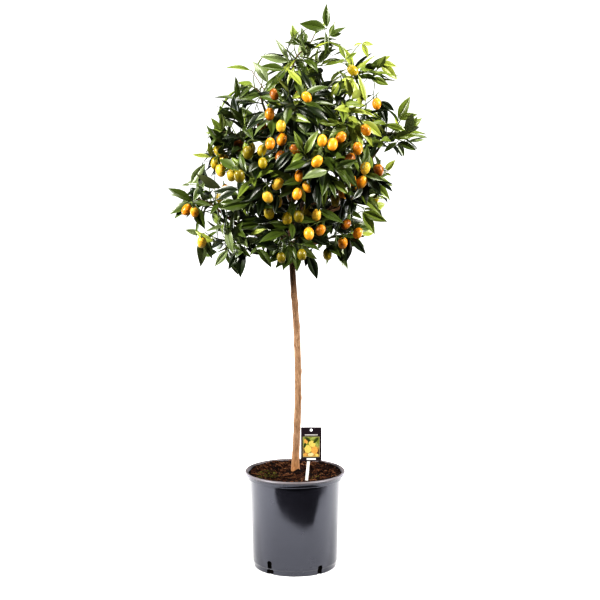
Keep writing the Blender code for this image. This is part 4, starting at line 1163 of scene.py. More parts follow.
def inner_radius(z):
    """Inside of the pot: along the wall, then out to the bead."""
    lip = POT_HEIGHT - 0.0022
    share = (min(z, COLLAR_Z) - FLOOR) / (COLLAR_Z - FLOOR)
    wall = FOOT_BAND_R + (WALL_TOP_R - FOOT_BAND_R) * share - WALL
    return wall + (BEAD_R - 0.0072 - wall) * max(0, (z - COLLAR_Z) / (lip - COLLAR_Z))


def pot_profile():
    """(radius, height) round the wall of the pot, from under its floor to the floor's top."""
    foot, wall = FOOT_BAND_H, WALL_TOP_R - WALL_FOOT_R
    return [
        (0.060, 0), (0.099, 0), *arc(FOOT_BAND_R - FOOT_ROUND, FOOT_ROUND, FOOT_ROUND, -90, 0, 6),
        (FOOT_BAND_R, foot - 0.0022), (FOOT_BAND_R + 0.0004, foot - 0.001),
        (WALL_FOOT_R - 0.0006, foot + 0.0002), (WALL_FOOT_R, foot + 0.0012),
        *((WALL_FOOT_R + wall * t, foot + (COLLAR_Z - foot) * t)
          for t in (0.015, *(k / 12 for k in range(1, 12)), 0.985)),
        (WALL_TOP_R, COLLAR_Z - 0.0012), (WALL_TOP_R + 0.0006, COLLAR_Z - 0.0002),
        *arc(COLLAR_R - 0.0012, COLLAR_Z + 0.0014, 0.0012, -80, 0, 4),
        (COLLAR_R, BEAD_Z - 0.0012), (COLLAR_R + 0.0004, BEAD_Z - 0.0003), (BEAD_R - 0.0034, BEAD_Z),
        *arc(BEAD_R - 0.0030, BEAD_Z + 0.0030, 0.0030, -85, 20, 6),
        *arc(BEAD_R - 0.0042, POT_HEIGHT - 0.0036, 0.0036, 20, 150, 8)[1:],
        *((inner_radius(z), z) for z in (BEAD_Z, COLLAR_Z, 0.1, FLOOR)), (0.05, FLOOR),
    ]


# Holes of one drain, as width, foot and top
DRAIN_HOLES = ((DRAIN_W, -0.005, DRAIN_TOP),)
HIGH_DRAIN_HOLES = ((DRAIN_W, NOTCH_H + BRIDGE_H, HIGH_DRAIN_TOP), (NOTCH_W, -0.005, NOTCH_H))
DRAIN_CORNER = 0.0022
POT_SIDES = 168


def make_pot():
    sides, profile = POT_SIDES, pot_profile()
    last = 1 + len(profile) * sides
    a = last - sides
    verts = [(0, 0, 0), *(polar(r, turn, z) for r, z in profile for turn in circle(sides)), (0, 0, FLOOR)]
    faces = [(0, n, k) for _, k, n in fan(sides)] + [*bands(1, len(profile), sides)]
    faces += [(a + k, a + (k + 1) % sides, last) for k in range(sides)]
    body, cuts = Skin(), Skin()
    body.add(verts, faces)
    pot = body.piece("nursery_pot", [pot_look()], "pot_plastic", ["pot"], 0)
    for k, a in enumerate(circle(DRAINS)):
        turn = Matrix.Rotation(DRAIN_START + a - pi / 2, 3, "Z")
        for w, low, top in DRAIN_HOLES if k else HIGH_DRAIN_HOLES:
            box = Skin()
            slab(box, stepped(w / 2, (top - low) / 2, DRAIN_CORNER), FOOT_BAND_R + 0.010,
                 FOOT_BAND_R - DRAIN_IN, 0, 0, (low + top) / 2)
            cuts.add([turn @ Vector(v) for v in box.verts], box.faces)
    cutter = add_object("pot_cuts", cuts.mesh("pot_cuts"))
    mod = pot.modifiers.new("cuts", "BOOLEAN")
    mod.object, mod.operation, mod.solver = cutter, "DIFFERENCE", "EXACT"
    whole = bpy.context.evaluated_depsgraph_get()
    mesh = bpy.data.meshes.new_from_object(pot.evaluated_get(whole))
    pot.modifiers.clear()
    old, pot.data = pot.data, mesh
    bpy.data.meshes.remove(old)
    bpy.data.objects.remove(cutter)
    smooth(mesh, 32)


def soil_height(x, y):
    away = clamp((hypot(x, y) - SOIL_PATCH_R) / 0.03, 0, 1)
    lumps = sin(83 * x + 1.3) * sin(71 * y + 0.4) + 0.6 * sin(151 * x - 90 * y)
    return SOIL_Z + away * (0.0016 * lumps - SOIL_DIP * (0.5 - 2.6 * x + 1.6 * y))


def bank(y):
    """The mix lies higher against the back of the pot."""
    return 0.0040 * clamp(y / 0.085, 0, 1)


def soil_bump(x, y):
    """The top of the mix in detail: lumps, and a low mound round the trunk."""
    p = Vector((x, y, 0))
    mound = (0.0058 + 0.0050 * noise.noise(p * 70)) * hill(max(hypot(x, y - 0.008) - 0.011, 0), 0.013)
    return (soil_height(x, y) + bank(y) + mound + 0.0016 * noise.noise(p * 95)
            + 0.0012 * noise.noise(p * 240) + 0.0006 * noise.noise(p * 600))


LUMP = ((0, 0, 1), (0, 0, -1), (1, 0, 0), (-1, 0, 0), (0, 1, 0), (0, -1, 0),
        (0.6, 0.6, 0.5), (-0.6, 0.6, 0.5), (0.6, -0.6, 0.5), (-0.6, -0.6, 0.5))
LUMP_FACES = ((0, 6, 7), (0, 7, 9), (0, 9, 8), (0, 8, 6), (6, 4, 7), (7, 3, 9), (9, 5, 8), (8, 2, 6),
              (6, 2, 4), (7, 4, 3), (9, 3, 5), (8, 5, 2), (1, 4, 2), (1, 3, 4), (1, 5, 3), (1, 2, 5))
# Loose pieces on the mix: count, material, ranges of the half sizes, depth sunk as a share of the height
STREWN = (
    (780, 1, ((0.0018, 0.0060), (0.0014, 0.0034), (0.0009, 0.0022)), 0.5),
    (420, 0, ((0.0010, 0.0024), (0.0010, 0.0022), (0.0008, 0.0018)), 0.6),
    (150, 2, ((0.0016, 0.0036), (0.0016, 0.0034), (0.0010, 0.0020)), 0.5),
)
MOSS = 2


def mossy(x, y, rng):
    """Moss grows in one patch at the left and thinly in one at the right."""
    return (hypot((x + 0.072) / 0.030, (y + 0.028) / 0.040) < 1
            or (hypot((x - 0.060) / 0.020, (y + 0.055) / 0.016) < 1 and rng.random() < 0.3))


def make_soil():
    sides, rows = 150, 44
    edge = inner_radius(SOIL_Z) - 0.0018
    verts = [(0, 0, soil_bump(0, 0))]
    for r in (edge * i / rows for i in range(1, rows + 1)):
        verts += [(r * cos(a), r * sin(a), soil_bump(r * cos(a), r * sin(a))) for a in circle(sides)]
    for z in (COLLAR_Z, FLOOR + GAP):
        verts += [polar(inner_radius(z) - 0.0008, a, z) for a in circle(sides)]
    faces = fan(sides) + [(a, d, c, b) for a, b, c, d in bands(1, rows + 2, sides)]
    faces.append(tuple(range(len(verts) - sides, len(verts)))[::-1])
    skin = Skin()
    shown = sides * rows
    skin.add(verts, faces, [0] * shown + [4] * (len(faces) - shown))
    rng = random.Random(SEED + 3)
    for count, mat, ranges, sunk in STREWN:
        made = 0
        while made < count:
            r, a = edge * sqrt(rng.random()), rng.uniform(0, 6.28)
            x, y = r * cos(a), r * sin(a)
            size = [rng.uniform(*limits) for limits in ranges]
            if r + max(size) > edge - 0.001 or r < 0.018 or (mat == MOSS and not mossy(x, y, rng)):
                continue
            turn = (Matrix.Rotation(rng.uniform(0, 6.28), 3, "Z")
                    @ Matrix.Rotation(rng.uniform(-0.7, 0.7), 3, "X")
                    @ Matrix.Rotation(rng.uniform(-0.5, 0.5), 3, "Y"))
            at = Vector((x, y, soil_height(x, y) + bank(y) + size[2] * sunk))
            skin.add([at + turn @ Vector([c[j] * size[j] * rng.uniform(0.75, 1.15) for j in range(3)])
                      for c in LUMP], LUMP_FACES, mat)
            made += 1
    for _ in range(90):
        r, a = edge * 0.9 * sqrt(rng.random()), rng.uniform(0, 6.28)
        if r < 0.016:
            continue
        length, turn = rng.uniform(0.010, 0.028), rng.uniform(0, 6.28)
        d = polar(1, turn, 0)
        side = Vector((-d.y, d.x, 0)) * rng.uniform(-0.35, 0.35)
        line = []
        for t in (k / 5 - 0.5 for k in range(6)):
            p = polar(r, a, 0) + d * length * t + side * length * (t * t)
            if p.xy.length > edge - 0.002:
                break
            line.append(Vector((p.x, p.y, soil_bump(p.x, p.y) + 0.0011 + 0.0012 * (1 - 4 * t * t))))
        if len(line) > 3:
            skin.add(*tube(line, [0.00035] * len(line), 4), 3)
    skin.piece("potting_mix_top", [earth_look(*look) for look in EARTHS], "potting_mix", ["soil"], 25)


def slab(skin, outline, y0, y1, mat, cx=0.0, cz=0.0):
    """A flat plate with the outline (x, z), from y0 at the back to y1 at the front."""
    n = len(outline)
    verts = [(cx + x, y, cz + z) for y in (y0, y1) for x, z in outline]
    skin.add(verts, [tuple(range(n))[::-1], tuple(range(n, 2 * n)), *bands(0, 2, n)], mat)


def oval(x, z, a, b, turn, power):
    """An oval of half sizes a and b, turned; a power over 1 points its ends."""
    out = []
    for t in circle(28):
        u, v = a * cos(t), b * abs(sin(t)) ** power * (1 if sin(t) > 0 else -1)
        out.append((x + u * cos(turn) - v * sin(turn), z + u * sin(turn) + v * cos(turn)))
    return out


# The card's picture, from the card's middle, with the line between its two grounds and its pale edge
LEFT, RIGHT, FOOT, TOP, MIDDLE = -0.0205, 0.0205, -0.0330, 0.0185, -0.004
EDGE = 0.0008
# Its rectangles, laid on before and after the ovals: left, right, foot, top, relief, material
GROUNDS = ((LEFT, RIGHT, MIDDLE, TOP, 0.00012, 2), (LEFT, RIGHT, FOOT, MIDDLE, 0.00012, 3))
BARS = (
    (-0.0165, 0.0165, 0.0228, 0.0252, 0.0001, 9), (-0.0118, 0.0118, -0.0410, -0.0366, 0.0001, 10),
    (LEFT - EDGE, LEFT, FOOT - EDGE, TOP + EDGE, 0.00016, 1),
    (RIGHT, RIGHT + EDGE, FOOT - EDGE, TOP + EDGE, 0.00016, 1),
    (LEFT, RIGHT, TOP, TOP + EDGE, 0.00016, 1), (LEFT, RIGHT, FOOT - EDGE, FOOT, 0.00016, 1),
)
# Its ovals: x, z, half sizes in mm, turn, power, relief in mm, material
OVALS = (
    (16.8, -19.5, 3.6, 9.2, 0.1, 1, 0.22, 11), (0, -21.5, 5.6, 5.8, 0, 1, 0.20, 11),
    (-18.2, -19.0, 2.2, 7.4, 0, 1, 0.24, 11), (-4.0, 7.5, 4.0, 7.0, 0.5, 1, 0.20, 6),
    (-8.5, -13.0, 8.8, 10.4, 0.3, 1, 0.30, 4), (8.5, -16.5, 8.4, 10.4, -0.35, 1, 0.34, 5),
    (2.5, 1.0, 7.8, 9.4, 0.8, 1, 0.38, 4), (-13.5, 7.2, 5.2, 6.6, 0.2, 1, 0.28, 5),
    (-9.0, 12.8, 3.4, 8.8, 0.9, 1.25, 0.42, 6), (12.0, 10.0, 3.6, 9.4, -0.7, 1.25, 0.44, 6),
    (4.0, 14.5, 3.0, 8.2, -1.2, 1.25, 0.46, 7), (15.0, -2.0, 3.0, 7.8, 0.4, 1.25, 0.40, 7),
    (-16.5, -3.5, 2.6, 7.0, -0.3, 1.25, 0.46, 6), (-1.0, -27.0, 7.4, 4.6, 0.1, 1, 0.40, 8),
    (14.5, -28.5, 4.0, 3.6, 0, 1, 0.36, 4), (-15.5, -27.0, 4.2, 4.4, 0, 1, 0.36, 5),
)
# The stake's cross-section, as shares of its half width and half thickness
SECTION = ((-0.9, -1), (-0.35, -1), (-0.25, -0.55), (0.25, -0.55), (0.35, -1), (0.9, -1),
           (1, -0.7), (1, 0.7), (0.9, 1), (-0.9, 1), (-1, 0.7), (-1, -0.7))


def card_plate(skin):
    """The card: a flat plate with its hole."""
    outer = rounded(CARD_W / 2 - 0.0001, CARD_H / 2 - 0.0001, 0.0012)
    hole_z = CARD_H / 2 - CARD_HOLE_DROP
    hole = [(CARD_HOLE_R * cos(a), hole_z + CARD_HOLE_R * sin(a)) for a in circle(32)]
    plate = bmesh.new()
    rims = []
    for y in (CARD_AT.y + CARD_T / 2, CARD_AT.y - CARD_T / 2):
        rims.append([[plate.verts.new((CARD_AT.x + x, y, CARD_AT.z + z)) for x, z in rim]
                     for rim in (outer, hole)])
        edges = [plate.edges.new(pair) for rim in rims[-1] for pair in zip(rim, rim[1:] + rim[:1])]
        bmesh.ops.triangle_fill(plate, edges=edges, use_beauty=True)
    for p, q in zip(*rims):
        for quad in zip(p, p[1:] + p[:1], q[1:] + q[:1], q):
            plate.faces.new(quad)
    bmesh.ops.recalc_face_normals(plate, faces=plate.faces[:])
    plate.verts.index_update()
    skin.add([v.co for v in plate.verts], [[v.index for v in f.verts] for f in plate.faces])
    plate.free()


def make_label():
    """A card with a picture of round and leaf shapes in low relief, on a flat stake. It bears no words."""
    skin = Skin()
    card_plate(skin)
    front = CARD_AT.y - CARD_T / 2

    def picture(outline, relief, mat):
        slab(skin, outline[::-1], front + 0.00005, front - relief, mat, CARD_AT.x, CARD_AT.z)

    def rectangles(rows):
        for x0, x1, z0, z1, relief, mat in rows:
            picture([(x1, z0), (x1, z1), (x0, z1), (x0, z0)], relief, mat)

    rectangles(GROUNDS)
    for *spot, turn, power, relief, mat in OVALS:
        inside = []
        for x, z in oval(*mm(spot), turn, power):
            p = clamp(x, LEFT + 0.0004, RIGHT - 0.0004), clamp(z, FOOT + 0.0004, TOP - 0.0004)
            if not inside or hypot(p[0] - inside[-1][0], p[1] - inside[-1][1]) > 0.00005:
                inside.append(p)
        if hypot(inside[0][0] - inside[-1][0], inside[0][1] - inside[-1][1]) < 0.00005:
            inside.pop()
        picture(inside, relief / 1000, mat)
    rectangles(BARS)
    skin.piece("plant_label", [print_look(*look) for look in PRINTS], "label_card", ["label_card"], 30)

    stake = Skin()
    head = CARD_AT.z + 0.005
    rise = (STAKE_HEAD_X - STAKE_FOOT_X) / (CARD_AT.z - CARD_H / 2 - SOIL_Z)
    y = CARD_AT.y + CARD_T / 2 + GAP + STAKE_T / 2
    foot = SOIL_Z - STAKE_DEPTH
    rows = ((foot, 0.25), (foot + 0.012, 1), (SOIL_Z, 1), ((SOIL_Z + head) / 2, 1),
            (head - 0.002, 1), (head, 0.7))  # height, share of the width
    verts = [(STAKE_FOOT_X + rise * (z - SOIL_Z) + sx * STAKE_W / 2 * narrow, y + sy * STAKE_T / 2, z)
             for z, narrow in rows for sx, sy in SECTION]
    n = len(SECTION)
    ends = [tuple(range(n))[::-1], tuple(range(len(verts) - n, len(verts)))]
    stake.add(verts, [*ends, *bands(0, len(rows), n)])
    plastic = print_look("stake_plastic", (0.820, 0.820, 0.800), 0.40)
    stake.piece("plant_label_stake", [plastic], "label_stake", ["label_stake"], 30)


# ---------------------------------------------------------------- materials
class Value:
    """A node's output. A sum, difference, product, power or absolute value of it is a Math node."""

    def __init__(self, nodes, socket):
        self.nodes, self.socket = nodes, socket

    def part(self, name):
        """Another output of the same node."""
        return Value(self.nodes, self.socket.node.outputs[name])

    def __add__(self, other):
        return self.nodes.math("ADD", self, other)

    def __sub__(self, other):
        return self.nodes.math("SUBTRACT", self, other)

    def __mul__(self, other):
        return self.nodes.math("MULTIPLY", self, other)

    def __pow__(self, other):
        return self.nodes.math("POWER", self, other)

    def __abs__(self):
        return self.nodes.math("ABSOLUTE", self)


class Nodes:
    """The nodes of a material or a world, each added with its inputs."""

    def __init__(self, owner, empty=True):
        owner.use_nodes = True
        self.tree = owner.node_tree
        if empty:
            self.tree.nodes.clear()

    def put(self, node, **inputs):
        """Links or sets inputs, each given by its name, with _ for a space, or as _ and its number."""
        for key, value in inputs.items():
            socket = node.inputs[int(key[1:]) if key[0] == "_" else key.replace("_", " ")]
            if isinstance(value, Value):
                self.tree.links.new(value.socket, socket)
            else:
                socket.default_value = (*value, 1) if socket.type == "RGBA" else value

    def node(self, kind, out=0, how=(), **inputs):
        """Adds a node, sets its (attribute, value) and inputs, and returns its output, if it has one."""
        node = self.tree.nodes.new("ShaderNode" + kind)
        if how:
            setattr(node, *how)
        self.put(node, **inputs)
        return Value(self, node.outputs[out]) if node.outputs else None

    def math(self, operation, a, b=0.0):
        return self.node("Math", 0, ("operation", operation), _0=a, _1=b)

    def spread(self, value, low, high, a=0.0, b=1.0):
        """The value carried from the range a to b onto low to high."""
        return self.node("MapRange", Value=value, From_Min=a, From_Max=b, To_Min=low, To_Max=high)

    def mix(self, share, a, b):
        return self.node("Mix", 2, ("data_type", "RGBA"), _0=share, _6=a, _7=b)

    def ramp(self, value, *stops):
        colour = self.node("ValToRGB", Fac=value)
        elements = colour.socket.node.color_ramp.elements
        while len(elements) < len(stops):
            elements.new(0.5)
        for element, (at, shade) in zip(elements, stops):
            element.position, element.color = at, (*shade, 1)
        return colour


class Look(Nodes):
    """A procedural material: a Principled shader with a few helpers round it."""

    def __init__(self, name, colour, rough, ior=1.5, coat=0.0, spec=0.5):
        self.mat = bpy.data.materials.new(name)
        super().__init__(self.mat, False)
        self.mat.diffuse_color = (*colour, 1)
        self.set(Base_Color=colour, Roughness=rough, IOR=ior, Coat_Weight=coat, Coat_Roughness=0.12,
                 Specular_IOR_Level=spec)
        self.where = self.node("TexCoord", "Object")

    def set(self, **inputs):
        self.put(self.tree.nodes["Principled BSDF"], **inputs)

    def height(self):
        return self.node("SeparateXYZ", "Z", Vector=self.where)

    def scaled(self, *scale):
        return self.node("Mapping", Vector=self.where, Scale=scale)

    def noise(self, scale, detail=3, rough=0.5, where=None, distortion=0.0):
        return self.node("TexNoise", "Fac", Vector=where or self.where, Scale=scale, Detail=detail,
                         Roughness=rough, Distortion=distortion)

    def cells(self, scale):
        return self.node("TexVoronoi", "Distance", Vector=self.where, Scale=scale)

    def bump(self, height, strength, distance):
        self.set(Normal=self.node("Bump", Height=height, Strength=strength, Distance=distance))


# Leaf colours by tone, tops then undersides. deep is a dark green darkened further as painted shade, light a
# lighter green that stands for lit leaves as painted light, pale a grey-green painted sheen; mid and fresh
# are the leaves' own greens.
LEAF_TOP = ((0.010, 0.018, 0.004), (0.052, 0.077, 0.012), (0.125, 0.163, 0.028), (0.235, 0.272, 0.050),
            (0.130, 0.165, 0.068))
LEAF_UNDER = ((0.020, 0.030, 0.009), (0.074, 0.100, 0.028), (0.150, 0.186, 0.050), (0.260, 0.292, 0.078),
              (0.170, 0.200, 0.100))
# Fruit colours by ripeness; the last, deep orange, is darkened beyond its own colour as painted shade.
SKINS = ((0.150, 0.118, 0.005), (0.272, 0.205, 0.008), (0.560, 0.370, 0.048), (0.610, 0.265, 0.018),
         (0.480, 0.195, 0.010), (0.215, 0.072, 0.005))  # by ripeness
# The potting mix's materials: scale of the grain, then the stops of its colour
EARTHS = (
    ("potting_mix", 260.0, (0.32, (0.003, 0.0012, 0.001)), (0.60, (0.010, 0.004, 0.0025)),
     (0.86, (0.050, 0.021, 0.012))),
    ("bark_chip", 120.0, (0.20, (0.008, 0.003, 0.002)), (0.50, (0.034, 0.013, 0.007)),
     (0.74, (0.110, 0.052, 0.028)), (0.92, (0.300, 0.190, 0.120))),
    ("moss", 420.0, (0.25, (0.014, 0.016, 0.003)), (0.55, (0.048, 0.050, 0.010)),
     (0.85, (0.120, 0.115, 0.030))),
    ("root_fibre", 260.0, (0.25, (0.100, 0.042, 0.018)), (0.60, (0.200, 0.095, 0.042)),
     (0.85, (0.330, 0.190, 0.095))),
    ("deep_mix", 260.0, (0.25, (0.001, 0.001, 0.001)), (0.75, (0.005, 0.003, 0.002))),
)
# The card's materials
PRINTS = (
    ("card_dark", (0.022, 0.014, 0.020), 0.35), ("card_edge", (0.50, 0.46, 0.24)),
    ("picture_green", (0.200, 0.235, 0.045)), ("picture_gold", (0.420, 0.250, 0.075)),
    ("picture_yellow", (0.620, 0.500, 0.140)), ("picture_orange", (0.600, 0.330, 0.090)),
    ("picture_leaf", (0.045, 0.062, 0.015)), ("picture_pale_leaf", (0.300, 0.340, 0.100)),
    ("picture_cream", (0.620, 0.560, 0.300)), ("card_bar", (0.620, 0.600, 0.570)),
    ("card_white", (0.860, 0.860, 0.840)), ("picture_brown", (0.100, 0.045, 0.020)),
)


def leaf_look(name, colour, under):
    look = Look(name, colour, 0.55 if under else 0.36, 1.45, spec=0.30 if under else 0.50)
    x = look.node("SeparateXYZ", "X", Vector=look.node("UVMap", how=("uv_map", "leaf")))
    off = abs(x - 0.5)
    veins = abs(look.math("SINE", (x.part("Y") - off * 0.42) * 34.0)) ** 6.0
    rib = look.spread(off, 1.0, 0.0, 0.0, 0.06)
    height = veins * 0.10 + rib * (0.5 if under else -0.3) + look.noise(900, 2) * 0.35
    look.bump(height, 0.5 if under else 0.35, 0.0006)
    look.set(Roughness=look.spread(look.noise(60), 0.46 if under else 0.27, 0.60 if under else 0.42))
    return look.mat


def fruit_look(name, colour):
    look = Look(name, colour, 0.34, 1.42, coat=0.12, spec=0.4)
    look.set(Subsurface_Weight=0.06, Subsurface_Radius=(0.006, 0.003, 0.001), Subsurface_Scale=0.5)
    look.bump(look.cells(900) + look.noise(120, 2), 0.30, 0.0005)
    look.set(Roughness=look.spread(look.noise(160), 0.30, 0.46))
    return look.mat


def bark_look():
    """Pale brown, darker above, green at the top, with a rusty foot."""
    look = Look("bark", (0.26, 0.16, 0.10), 0.75, spec=0.3)
    streaks = look.noise(1.0, 5, 0.56, look.scaled(230, 230, 62), 0.6)
    blotch = look.noise(1.0, 3, 0.5, look.scaled(60, 60, 16))
    fine = look.noise(1.0, 3, 0.6, look.scaled(900, 900, 260))
    low = look.ramp(streaks, (0.26, (0.150, 0.083, 0.046)), (0.42, (0.240, 0.143, 0.083)),
                    (0.60, (0.335, 0.213, 0.135)), (0.80, (0.440, 0.310, 0.215)))
    high = look.ramp(streaks, (0.30, (0.060, 0.028, 0.013)), (0.50, (0.115, 0.058, 0.027)),
                     (0.75, (0.185, 0.110, 0.058)))
    green = look.ramp(streaks, (0.30, (0.030, 0.028, 0.010)), (0.60, (0.085, 0.080, 0.028)),
                      (0.80, (0.150, 0.120, 0.050)))
    rust = look.ramp(streaks, (0.30, (0.150, 0.066, 0.022)), (0.70, (0.400, 0.205, 0.080)))
    z = look.height()
    up = look.spread(z + blotch * 0.22, 0.0, 1.0, 0.66, 0.90)
    far = look.spread(z + blotch * 0.10, 0.0, 1.0, 1.02, 1.20)
    foot = look.spread(z + blotch * 0.03, 0.85, 0.0, 0.265, 0.345)
    shade = look.mix(look.spread(blotch, 0.0, 0.55, 0.45, 0.75), low, (0.170, 0.098, 0.058))
    look.set(Base_Color=look.mix(far, look.mix(up, look.mix(foot, shade, rust), high), green),
             Roughness=look.spread(streaks, 0.62, 0.86))
    look.bump(streaks + fine * 0.4, 0.60, 0.0010)
    return look.mat


def twig_look(name, dark, light):
    look = Look(name, light, 0.55, spec=0.4)
    grain = look.noise(1.0, 4, 0.6, look.scaled(500, 500, 120))
    look.set(Base_Color=look.ramp(grain, (0.30, dark), (0.70, light)))
    look.bump(grain, 0.5, 0.0006)
    return look.mat


def pot_look():
    """Glossy black plastic, dusty at its foot, with a pale painted highlight and a rougher worn finish along
    its rim, and dull inside the rim.
    """
    look = Look("pot_plastic", (0.013, 0.013, 0.017), 0.12, 1.74)
    look.set(Specular_Tint=(0.79, 0.82, 0.96))
    z, dust = look.height(), look.noise(38, 5, 0.6)
    grey = look.ramp(dust * 0.6 + look.noise(9) * 0.4, (0.30, (0.014, 0.014, 0.019)),
                     (0.60, (0.019, 0.019, 0.026)), (0.85, (0.030, 0.030, 0.039)))
    foot = look.spread(z, 0.30, 0.0, 0.0, 0.05)
    # The top of the rim: its pale pinkish colour is a painted highlight; the roughness it adds below is wear.
    rim_highlight_and_wear = look.spread(z + dust * 0.002, 0.0, 1.0, POT_HEIGHT - 0.0075, POT_HEIGHT - 0.001)
    look.set(Base_Color=look.mix(rim_highlight_and_wear, look.mix(foot, grey, (0.030, 0.030, 0.036)), (0.120, 0.106, 0.108)))
    flat = look.node("VectorMath", 0, ("operation", "MULTIPLY"), _0=look.where, _1=(1.0, 1.0, 0.0))
    off = look.node("VectorMath", "Value", ("operation", "LENGTH"), _0=flat)
    inside = look.spread(off, 0.45, 0.0, BEAD_R - 0.0062, BEAD_R - 0.0058)
    dusty = inside * look.spread(z, 0.0, 1.0, POT_HEIGHT - 0.0165, POT_HEIGHT - 0.0160)
    smooth_part = look.spread(look.noise(22, 6, 0.65), 0.08, 0.17)
    look.set(Roughness=smooth_part + (dusty + rim_highlight_and_wear * 0.42))
    look.bump(look.noise(14, 2) + look.noise(55) * 0.12 + look.noise(700, 2) * 0.02, 0.07, 0.004)
    return look.mat


def earth_look(name, scale, *stops):
    look = Look(name, stops[len(stops) // 2][1], 0.95, spec=0.10)
    grain = look.node("SeparateColor", Color=look.cells(scale * 0.7).part("Color"))
    look.set(Base_Color=look.ramp(grain * 0.55 + look.noise(scale, 5, 0.65) * 0.45, *stops))
    look.bump(look.noise(scale * 3, 4, 0.7), 0.8, 0.0012)
    return look.mat


def print_look(name, colour, rough=0.28):
    look = Look(name, colour, rough)
    c = Vector(colour)
    shades = (0.25, tuple(c * 0.80)), (0.75, tuple(min(1, v * 1.12) for v in c))
    look.set(Base_Color=look.ramp(look.noise(420), *shades))
    look.bump(look.noise(1600, 2), 0.08, 0.0003)
    return look.mat


# ---------------------------------------------------------------- stage, light and camera
def light(name, at, aim, size, watts, colour):
    data = bpy.data.lights.new(name, "AREA")
    data.shape, data.energy, data.color = "RECTANGLE", watts, colour
    data.size, data.size_y = size
    obj = add_object(name, data)
    obj.location = at
    obj.rotation_euler = (Vector(aim) - Vector(at)).to_track_quat("-Z", "Y").to_euler()
    return obj


def flat_stage(name, corners, mat):
    mesh = bpy.data.meshes.new(name)
    mesh.from_pydata(corners, [], [tuple(range(len(corners)))])
    mesh.materials.append(mat)
    obj = add_object(name, mesh)
    return obj


def floor_look():
    """White paper: it shades softly round the pot and runs out to plain white, and throws back little
    light. What the pot mirrors of it is close by; the crown mirrors none of it."""
    mat = bpy.data.materials.new("stage_white")
    nodes = Nodes(mat)
    far = nodes.node("VectorMath", "Value", ("operation", "LENGTH"), _0=nodes.node("TexCoord", "Object"))
    glow = nodes.node("Emission", Strength=nodes.spread(far, 0.46, 1.0, 0.2, 1.1))
    seen = nodes.node("AddShader", _0=nodes.node("BsdfDiffuse", Color=(0.62, 0.62, 0.62)), _1=glow)
    dim = nodes.node("BsdfDiffuse", Color=(0.10, 0.10, 0.10))
    ray = nodes.node("LightPath", "Ray Length")
    near = nodes.spread(ray, 1.0, 0.0, 0.85, 1.20)
    plain = nodes.math("MAXIMUM", ray.part("Is Camera Ray"), ray.part("Is Glossy Ray") * near)
    nodes.node("OutputMaterial", Surface=nodes.node("MixShader", _0=plain, _1=dim, _2=seen))
    return mat


# Lower edge of the dark reflection on the front of the pot, from the right: x, z in mm
PATCH = ((83, 228), (70, 215), (62, 200), (57, 180), (46, 137), (33, 132), (10, 137), (-3, 144), (-18, 156),
         (-33, 168), (-47, 204), (-53, 230))


def mirrored(x, z):
    """(x, y) of the floor that the pot's wall mirrors at (x, z), seen from the photograph's place."""
    slope = (WALL_TOP_R - WALL_FOOT_R) / (COLLAR_Z - FOOT_BAND_H)
    r = WALL_FOOT_R + slope * (z - FOOT_BAND_H)
    at = Vector((x, -sqrt(r * r - x * x), z))
    way = (at - SEEN_FROM).reflect(Vector((at.x / r, at.y / r, -slope)).normalized())
    return at.x - way.x * z / way.z, at.y - way.y * z / way.z


# name, place, the point it aims at, width and height, watts, colour
LIGHTS = (
    ("key_left", (-2.4, -1.2, 2.1), (0, 0, 0.95), (0.6, 1.1), 172, (1.0, 0.98, 0.93)),
    ("key_right", (2.4, -1.0, 2.1), (0, 0, 0.95), (0.6, 1.1), 142, (1.0, 0.98, 0.93)),
    ("front", (-0.9, -3.3, 2.4), (0, 0, 0.9), (0.6, 0.6), 30, (1.0, 0.97, 0.90)),
    ("top", (0.1, 0.2, 3.4), (0, 0, 1.0), (1.0, 1.0), 56, (1.0, 0.98, 0.92)),
)


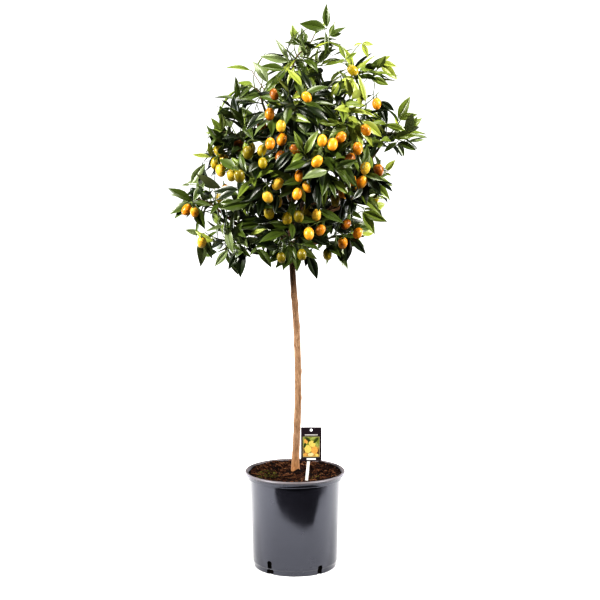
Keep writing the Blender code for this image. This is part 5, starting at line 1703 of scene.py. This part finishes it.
def make_stage():
    scene = bpy.context.scene
    scene.view_settings.view_transform = "Standard"
    scene.view_settings.look = "High Contrast"
    floor = flat_stage("floor", [(-9, -9, 0), (9, -9, 0), (9, 9, 0), (-9, 9, 0)], floor_look())
    floor.visible_shadow = False
    edge = [(-1.3, -2.5), (1.9, -2.5), (1.9, -0.1), *(mirrored(*mm(point)) for point in PATCH),
            (-0.8, -0.7), (-1.3, -1.1)]
    black = Look("stage_black", (0.01, 0.01, 0.012), 0.9, spec=0.1)
    card = flat_stage("dark_card", [(x, y, 0.002) for x, y in edge], black.mat)
    card.visible_camera = card.visible_diffuse = card.visible_shadow = False
    scene.world = scene.world or bpy.data.worlds.new("World")
    nodes = Nodes(scene.world)
    lit = nodes.node("Background", Color=(0.97, 0.98, 1.0), Strength=0.03)
    seen = nodes.node("Background", Color=(1, 1, 1), Strength=1.0)
    plain = nodes.node("LightPath", "Is Camera Ray")
    nodes.node("OutputWorld", Surface=nodes.node("MixShader", _0=plain, _1=lit, _2=seen))
    for row in LIGHTS:
        light(*row)
    for name, side in (("panel_left", -1), ("panel_right", 1)):  # what the pot's edges mirror
        panel = light(name, (1.5 * side, 1.3, 0.5), (0, 0, 0.15), (2.0, 0.9), 34, (0.94, 0.94, 1.0))
        panel.visible_camera = False


def make_camera():
    data = bpy.data.cameras.new("camera")
    data.lens, data.sensor_width = 88.92, 36
    data.clip_start, data.clip_end = 0.1, 50
    camera = add_object("camera", data)
    camera.location = SEEN_FROM
    pitch = atan((SEEN_FROM.z - 0.706) / -SEEN_FROM.y)  # toward half the tree's height
    camera.rotation_euler = (pi / 2 - pitch, 0, 0)
    bpy.context.scene.camera = camera


# ---------------------------------------------------------------- the whole
def grow_crown(limbs):
    verts, faces = [], []
    for line, radii, _ in limbs.values():
        v, f = tube(line, [r + WOOD_CLEAR for r in radii], 8)
        faces += [tuple(i + len(verts) for i in face) for face in f]
        verts += v
    wood = BVHTree.FromPolygons(verts, faces)
    masses = [Mass(k, limbs, wood) for k in range(len(MASSES))]
    lay_sprigs(masses)
    front, behind = lay_fruit(masses)
    for mass in masses:
        mass.fill()
    crown = Crown(masses, wood)
    crown.grow_shoots()
    crown.hang_fruit(front, behind)
    crown.grow_twigs()
    crown.lay_sprays()
    crown.lay_leaves()
    return crown


def main():
    make_camera()
    make_stage()
    limbs = make_limbs()
    crown = grow_crown(limbs)
    make_bark(limbs)
    make_twigs(crown)
    make_leaves(crown)
    make_fruit(crown)
    make_pot()
    make_soil()
    make_label()


main()
